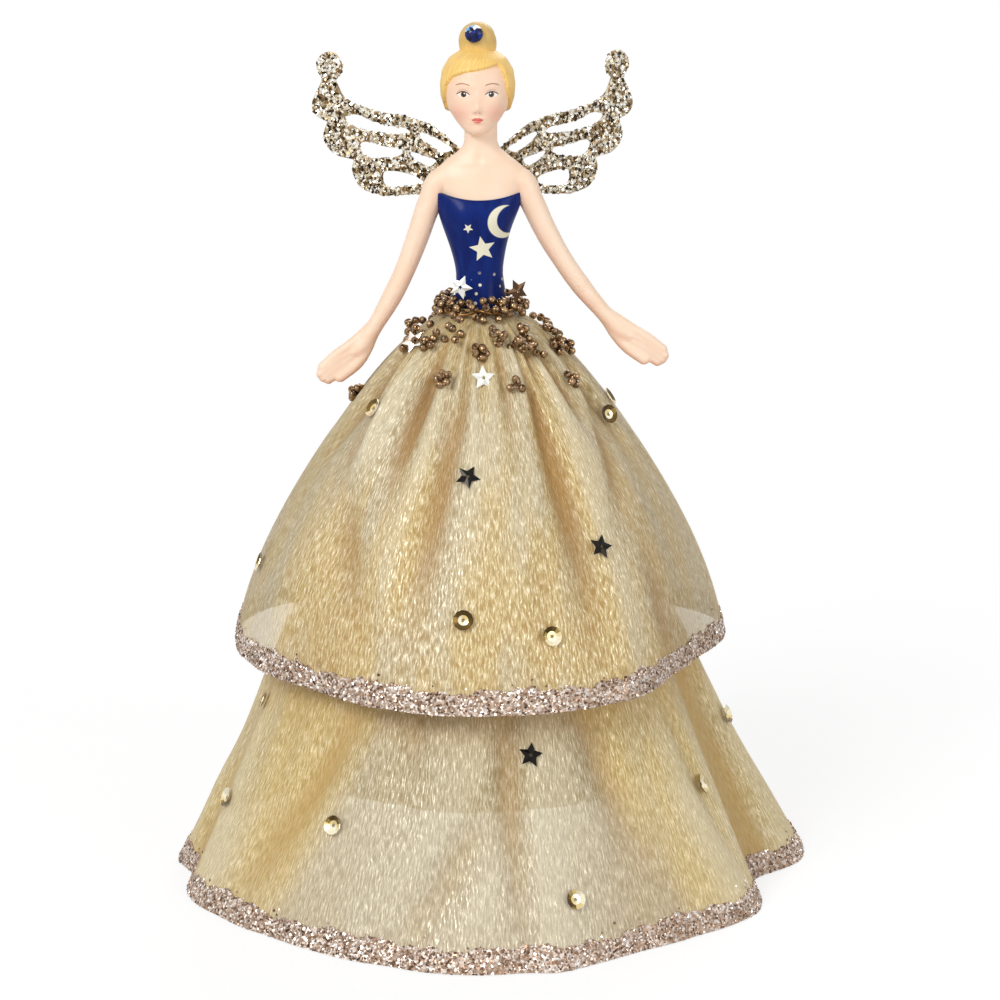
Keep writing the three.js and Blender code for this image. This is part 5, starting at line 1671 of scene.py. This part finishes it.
# %% Sewn clusters
CLUSTER_RING = 1.55
cluster_nodes = sorted(name for name in frame["nodes"] if name.startswith("bead_cluster_"))
for number, node in enumerate(cluster_nodes):
    rng = np.random.default_rng(60 + number)
    middle, facing, across = seat_of(node)
    seat = settle(upper_tier, middle, facing)
    other = np.cross(facing, across)
    count = 3 + number % 3
    turns = np.linspace(0, 2 * math.pi, count, endpoint=False) + rng.uniform(0, 1)
    ring = [seat + facing * BEAD * 0.9 + (across * math.cos(a) + other * math.sin(a)) * CLUSTER_RING
            for a in turns]
    cluster = beads_at(node + "_beads", ring + [seat + facing * (BEAD * 2.1)], rng)
    complete(cluster, node.replace("bead_cluster", "sewn_beads"), [bronze], [node], angle=60)
bpy.data.objects.remove(bead)

# %% [markdown]
# # Sequins
# Cup sequins are thin foil discs pressed into a shallow faceted cup with a hole to sew through, and
# star sequins are stamped flat with a ridge along each arm. Each kind is modelled once, from a circle
# that is extruded inwards ring by ring.

# %% Sequin finishes
def foil(name, tones, rough):
    """Mirror foil; each facet has its own tone, a painted reflection of another part of the room."""
    finish, start = new_finish(name, {"Metallic": 0.85, "Coat Weight": 0.2})
    cloud = noise(where(start), 0.9, 3)
    feed(finish, {"Base Color": ramp(kept(start, "tone") * 0.85 + cloud * 0.15, tones),
                  "Roughness": rough + cloud * 0.12})
    return finish


# The foil tones are painted reflections: the gold of the cups runs from near black to near white, and the
# star foils are the dark, brown and pale reflections that the stars show.
GOLD_REFLECTION_TONES = [(0.0, shade(16, 12, 5)), (0.25, shade(134, 104, 44)), (0.5, shade(226, 200, 132)),
              (1.0, shade(255, 250, 226))]
DARK_REFLECTION_TONES = [(0.0, shade(8, 7, 5)), (0.6, shade(22, 18, 12)), (1.0, shade(84, 68, 40))]
BROWN_REFLECTION_TONES = [(0.0, shade(40, 26, 14)), (0.6, shade(92, 64, 36)), (1.0, shade(160, 120, 72))]
PALE_REFLECTION_TONES = [(0.0, shade(206, 198, 176)), (0.5, shade(246, 243, 232)), (1.0, shade(255, 255, 250))]
gold_foil, dark_reflection_foil = foil("gold_foil", GOLD_REFLECTION_TONES, 0.12), foil("dark_reflection_foil", DARK_REFLECTION_TONES, 0.14)
brown_reflection_foil, pale_reflection_foil = foil("brown_reflection_foil", BROWN_REFLECTION_TONES, 0.2), foil("pale_reflection_foil", PALE_REFLECTION_TONES, 0.2)
print("foils: gold, dark, brown and pale")

# %% [markdown]
# The cup steps in and down from its rim: a narrow rim, a steep faceted wall and a floor with the hole
# in its middle. The foil gets its thickness at the end.

# %% Cup pattern
CUP_RADIUS, CUP_RISE, CUP_FOIL = 2.25, 0.6, 0.16
CUP_STEPS = (2.05, 0.1), (1.2, 0.36), (0.45, 0.14)
let_go()
bpy.ops.mesh.primitive_circle_add(vertices=12, radius=CUP_RADIUS * MM, location=(0, 0, CUP_RISE * MM),
                                  fill_type="NOTHING")
cup = bpy.context.object
bpy.ops.object.transform_apply(location=True)
open_up(cup)
radius = CUP_RADIUS
for inner, down in CUP_STEPS:
    bpy.ops.mesh.extrude_edges_move(TRANSFORM_OT_translate={"value": (0, 0, -down * MM)})
    bpy.ops.transform.resize(value=(inner / radius, inner / radius, 1), center_override=(0, 0, 0))
    radius = inner
close_up()
work(cup, "SOLIDIFY", thickness=CUP_FOIL * MM, offset=0)
turn_out(cup, MERGED)
print("facets of a cup:", len(cup.data.polygons))

# %% [markdown]
# A star starts as ten points in a circle, and every second one is drawn in. The outline is then raised
# and shrunk to the small hole in the middle, which leaves a ridge along each arm.

# %% Star pattern
STAR_RADIUS, STAR_NOTCH, STAR_RISE, STAR_FOIL = 2.9, 0.48, 0.34, 0.2
let_go()
bpy.ops.mesh.primitive_circle_add(vertices=10, radius=STAR_RADIUS * MM, fill_type="NOTHING")
star = bpy.context.object
points = read_points(star)
turn = np.arctan2(points[:, 1], points[:, 0])
order = np.round((turn - turn[np.argmax(points[:, 0])]) / (math.pi / 5)).astype(int) % 2
points[order == 1] *= STAR_NOTCH
write_points(star, points)
open_up(star)
bpy.ops.mesh.extrude_edges_move(TRANSFORM_OT_translate={"value": (0, 0, STAR_RISE * MM)})
bpy.ops.transform.resize(value=(0.2, 0.2, 1), center_override=(0, 0, 0))
close_up()
work(star, "SOLIDIFY", thickness=STAR_FOIL * MM, offset=0)
turn_out(star, MERGED)
print("facets of a star:", len(star.data.polygons))

# %% [markdown]
# Most sequins lie flat on the cloth. Two stars stand in the garland, caught by its wire, and a few hang
# loose on their thread and tip towards the front.

# %% Where a sequin sits
STANDING = {"garland_star_1": (0, 2.2, 2.2), "garland_star_2": (0, -0.4, 1.2)}
TIPPED = {"cup_sequin_2", "star_sequin_4", "star_sequin_5", "garland_star_1", "garland_star_2"}
UPPER_TIER_FROM = 52
THREAD_SLACK, TIP_SLACK = 0.5, 0.9


def sequin_seat(node):
    middle, facing, _ = seat_of(node)
    if node in STANDING:
        middle = middle + np.array(STANDING[node])
    else:
        tier = upper_tier if middle[2] > UPPER_TIER_FROM else lower_tier
        middle = settle(tier, middle, facing) + facing * THREAD_SLACK
    if node in TIPPED:
        facing = unit(facing + np.array([0, -0.9, 0]))
        middle = middle + facing * TIP_SLACK
    return middle, facing

# %% [markdown]
# The tone of a cup is a painted reflection, bright on one side and dark on the other, so it turns once
# round it. Its floor gets a painted reflection that is always light, and two of them get a dark painted
# reflection over their whole wall. Stars are nearly flat; most get a dark painted reflection, one a brown
# one and a few a pale one, and each differs only a little from facet to facet. After an extrusion Blender
# may number the facets in another order each run, so the random draws are dealt out by the facets' places.

# %% Tones and kinds
# cups with a dark painted reflection on their wall, and stars with pale and with brown painted reflections
CUPS_REFLECTING_DARK = {"cup_sequin_2", "cup_sequin_4"}
STARS_REFLECTING_PALE = {"star_sequin_4", "star_sequin_5", "garland_star_1"}
STARS_REFLECTING_BROWN = {"garland_star_2"}
CUP_FLOOR = 1.2


def by_place(pattern):
    """The rank of each facet when they are sorted by height, depth and width."""
    middles = np.array([face.center for face in pattern.data.polygons]) / MM
    return np.argsort(np.lexsort(np.round(middles, 3).T))


def cup_tones(node, rng):
    turns = np.array([math.atan2(face.center.y, face.center.x) for face in cup.data.polygons])
    inner = np.array([face.center.length for face in cup.data.polygons]) / MM
    glance = 0.58 + 0.62 * np.cos(turns - rng.uniform(0, 2 * math.pi))
    glance = np.clip(glance + rng.normal(0, 0.12, len(turns))[by_place(cup)], 0, 1)
    return np.where(inner > CUP_FLOOR, glance * (0.08 if node in CUPS_REFLECTING_DARK else 0.95), 0.5 + 0.5 * glance)


def star_tones(node, rng):
    draws = rng.random(len(star.data.polygons))[by_place(star)]
    return (0.7 if node in STARS_REFLECTING_PALE else 0.3) + 0.3 * draws


def kind_of(node):
    """The pattern, the rule for its tones, the slot and the foil of a sequin."""
    if node.startswith("cup"):
        return cup, cup_tones, "sequin_gold", gold_foil
    if node in STARS_REFLECTING_PALE:
        return star, star_tones, "sequin_pale", pale_reflection_foil
    return star, star_tones, "sequin_dark", brown_reflection_foil if node in STARS_REFLECTING_BROWN else dark_reflection_foil

# %% [markdown]
# Every sequin is then sewn on at its seat, nearly upright, with a small lean of its own.

# %% Sew the sequins on
SEQUIN_LEAN = 0.2
sequin_nodes = sorted(name for name in frame["nodes"] if "sequin" in name or "garland_star" in name)
for number, node in enumerate(sequin_nodes):
    rng = np.random.default_rng(90 + number)
    pattern, tones_of, slot, look = kind_of(node)
    middle, facing = sequin_seat(node)
    lean = rng.normal(0, SEQUIN_LEAN)
    upright = np.array([math.sin(lean), 0, math.cos(lean)])
    piece = set_down(pattern, node, middle, facing, unit(upright - facing * (upright @ facing)))
    piece.data.attributes.new("tone", "FLOAT", "FACE").data.foreach_set("value", tones_of(node, rng))
    complete(piece, "sewn_" + node, [look], [node], angle=12)
bpy.data.objects.remove(cup)
bpy.data.objects.remove(star)
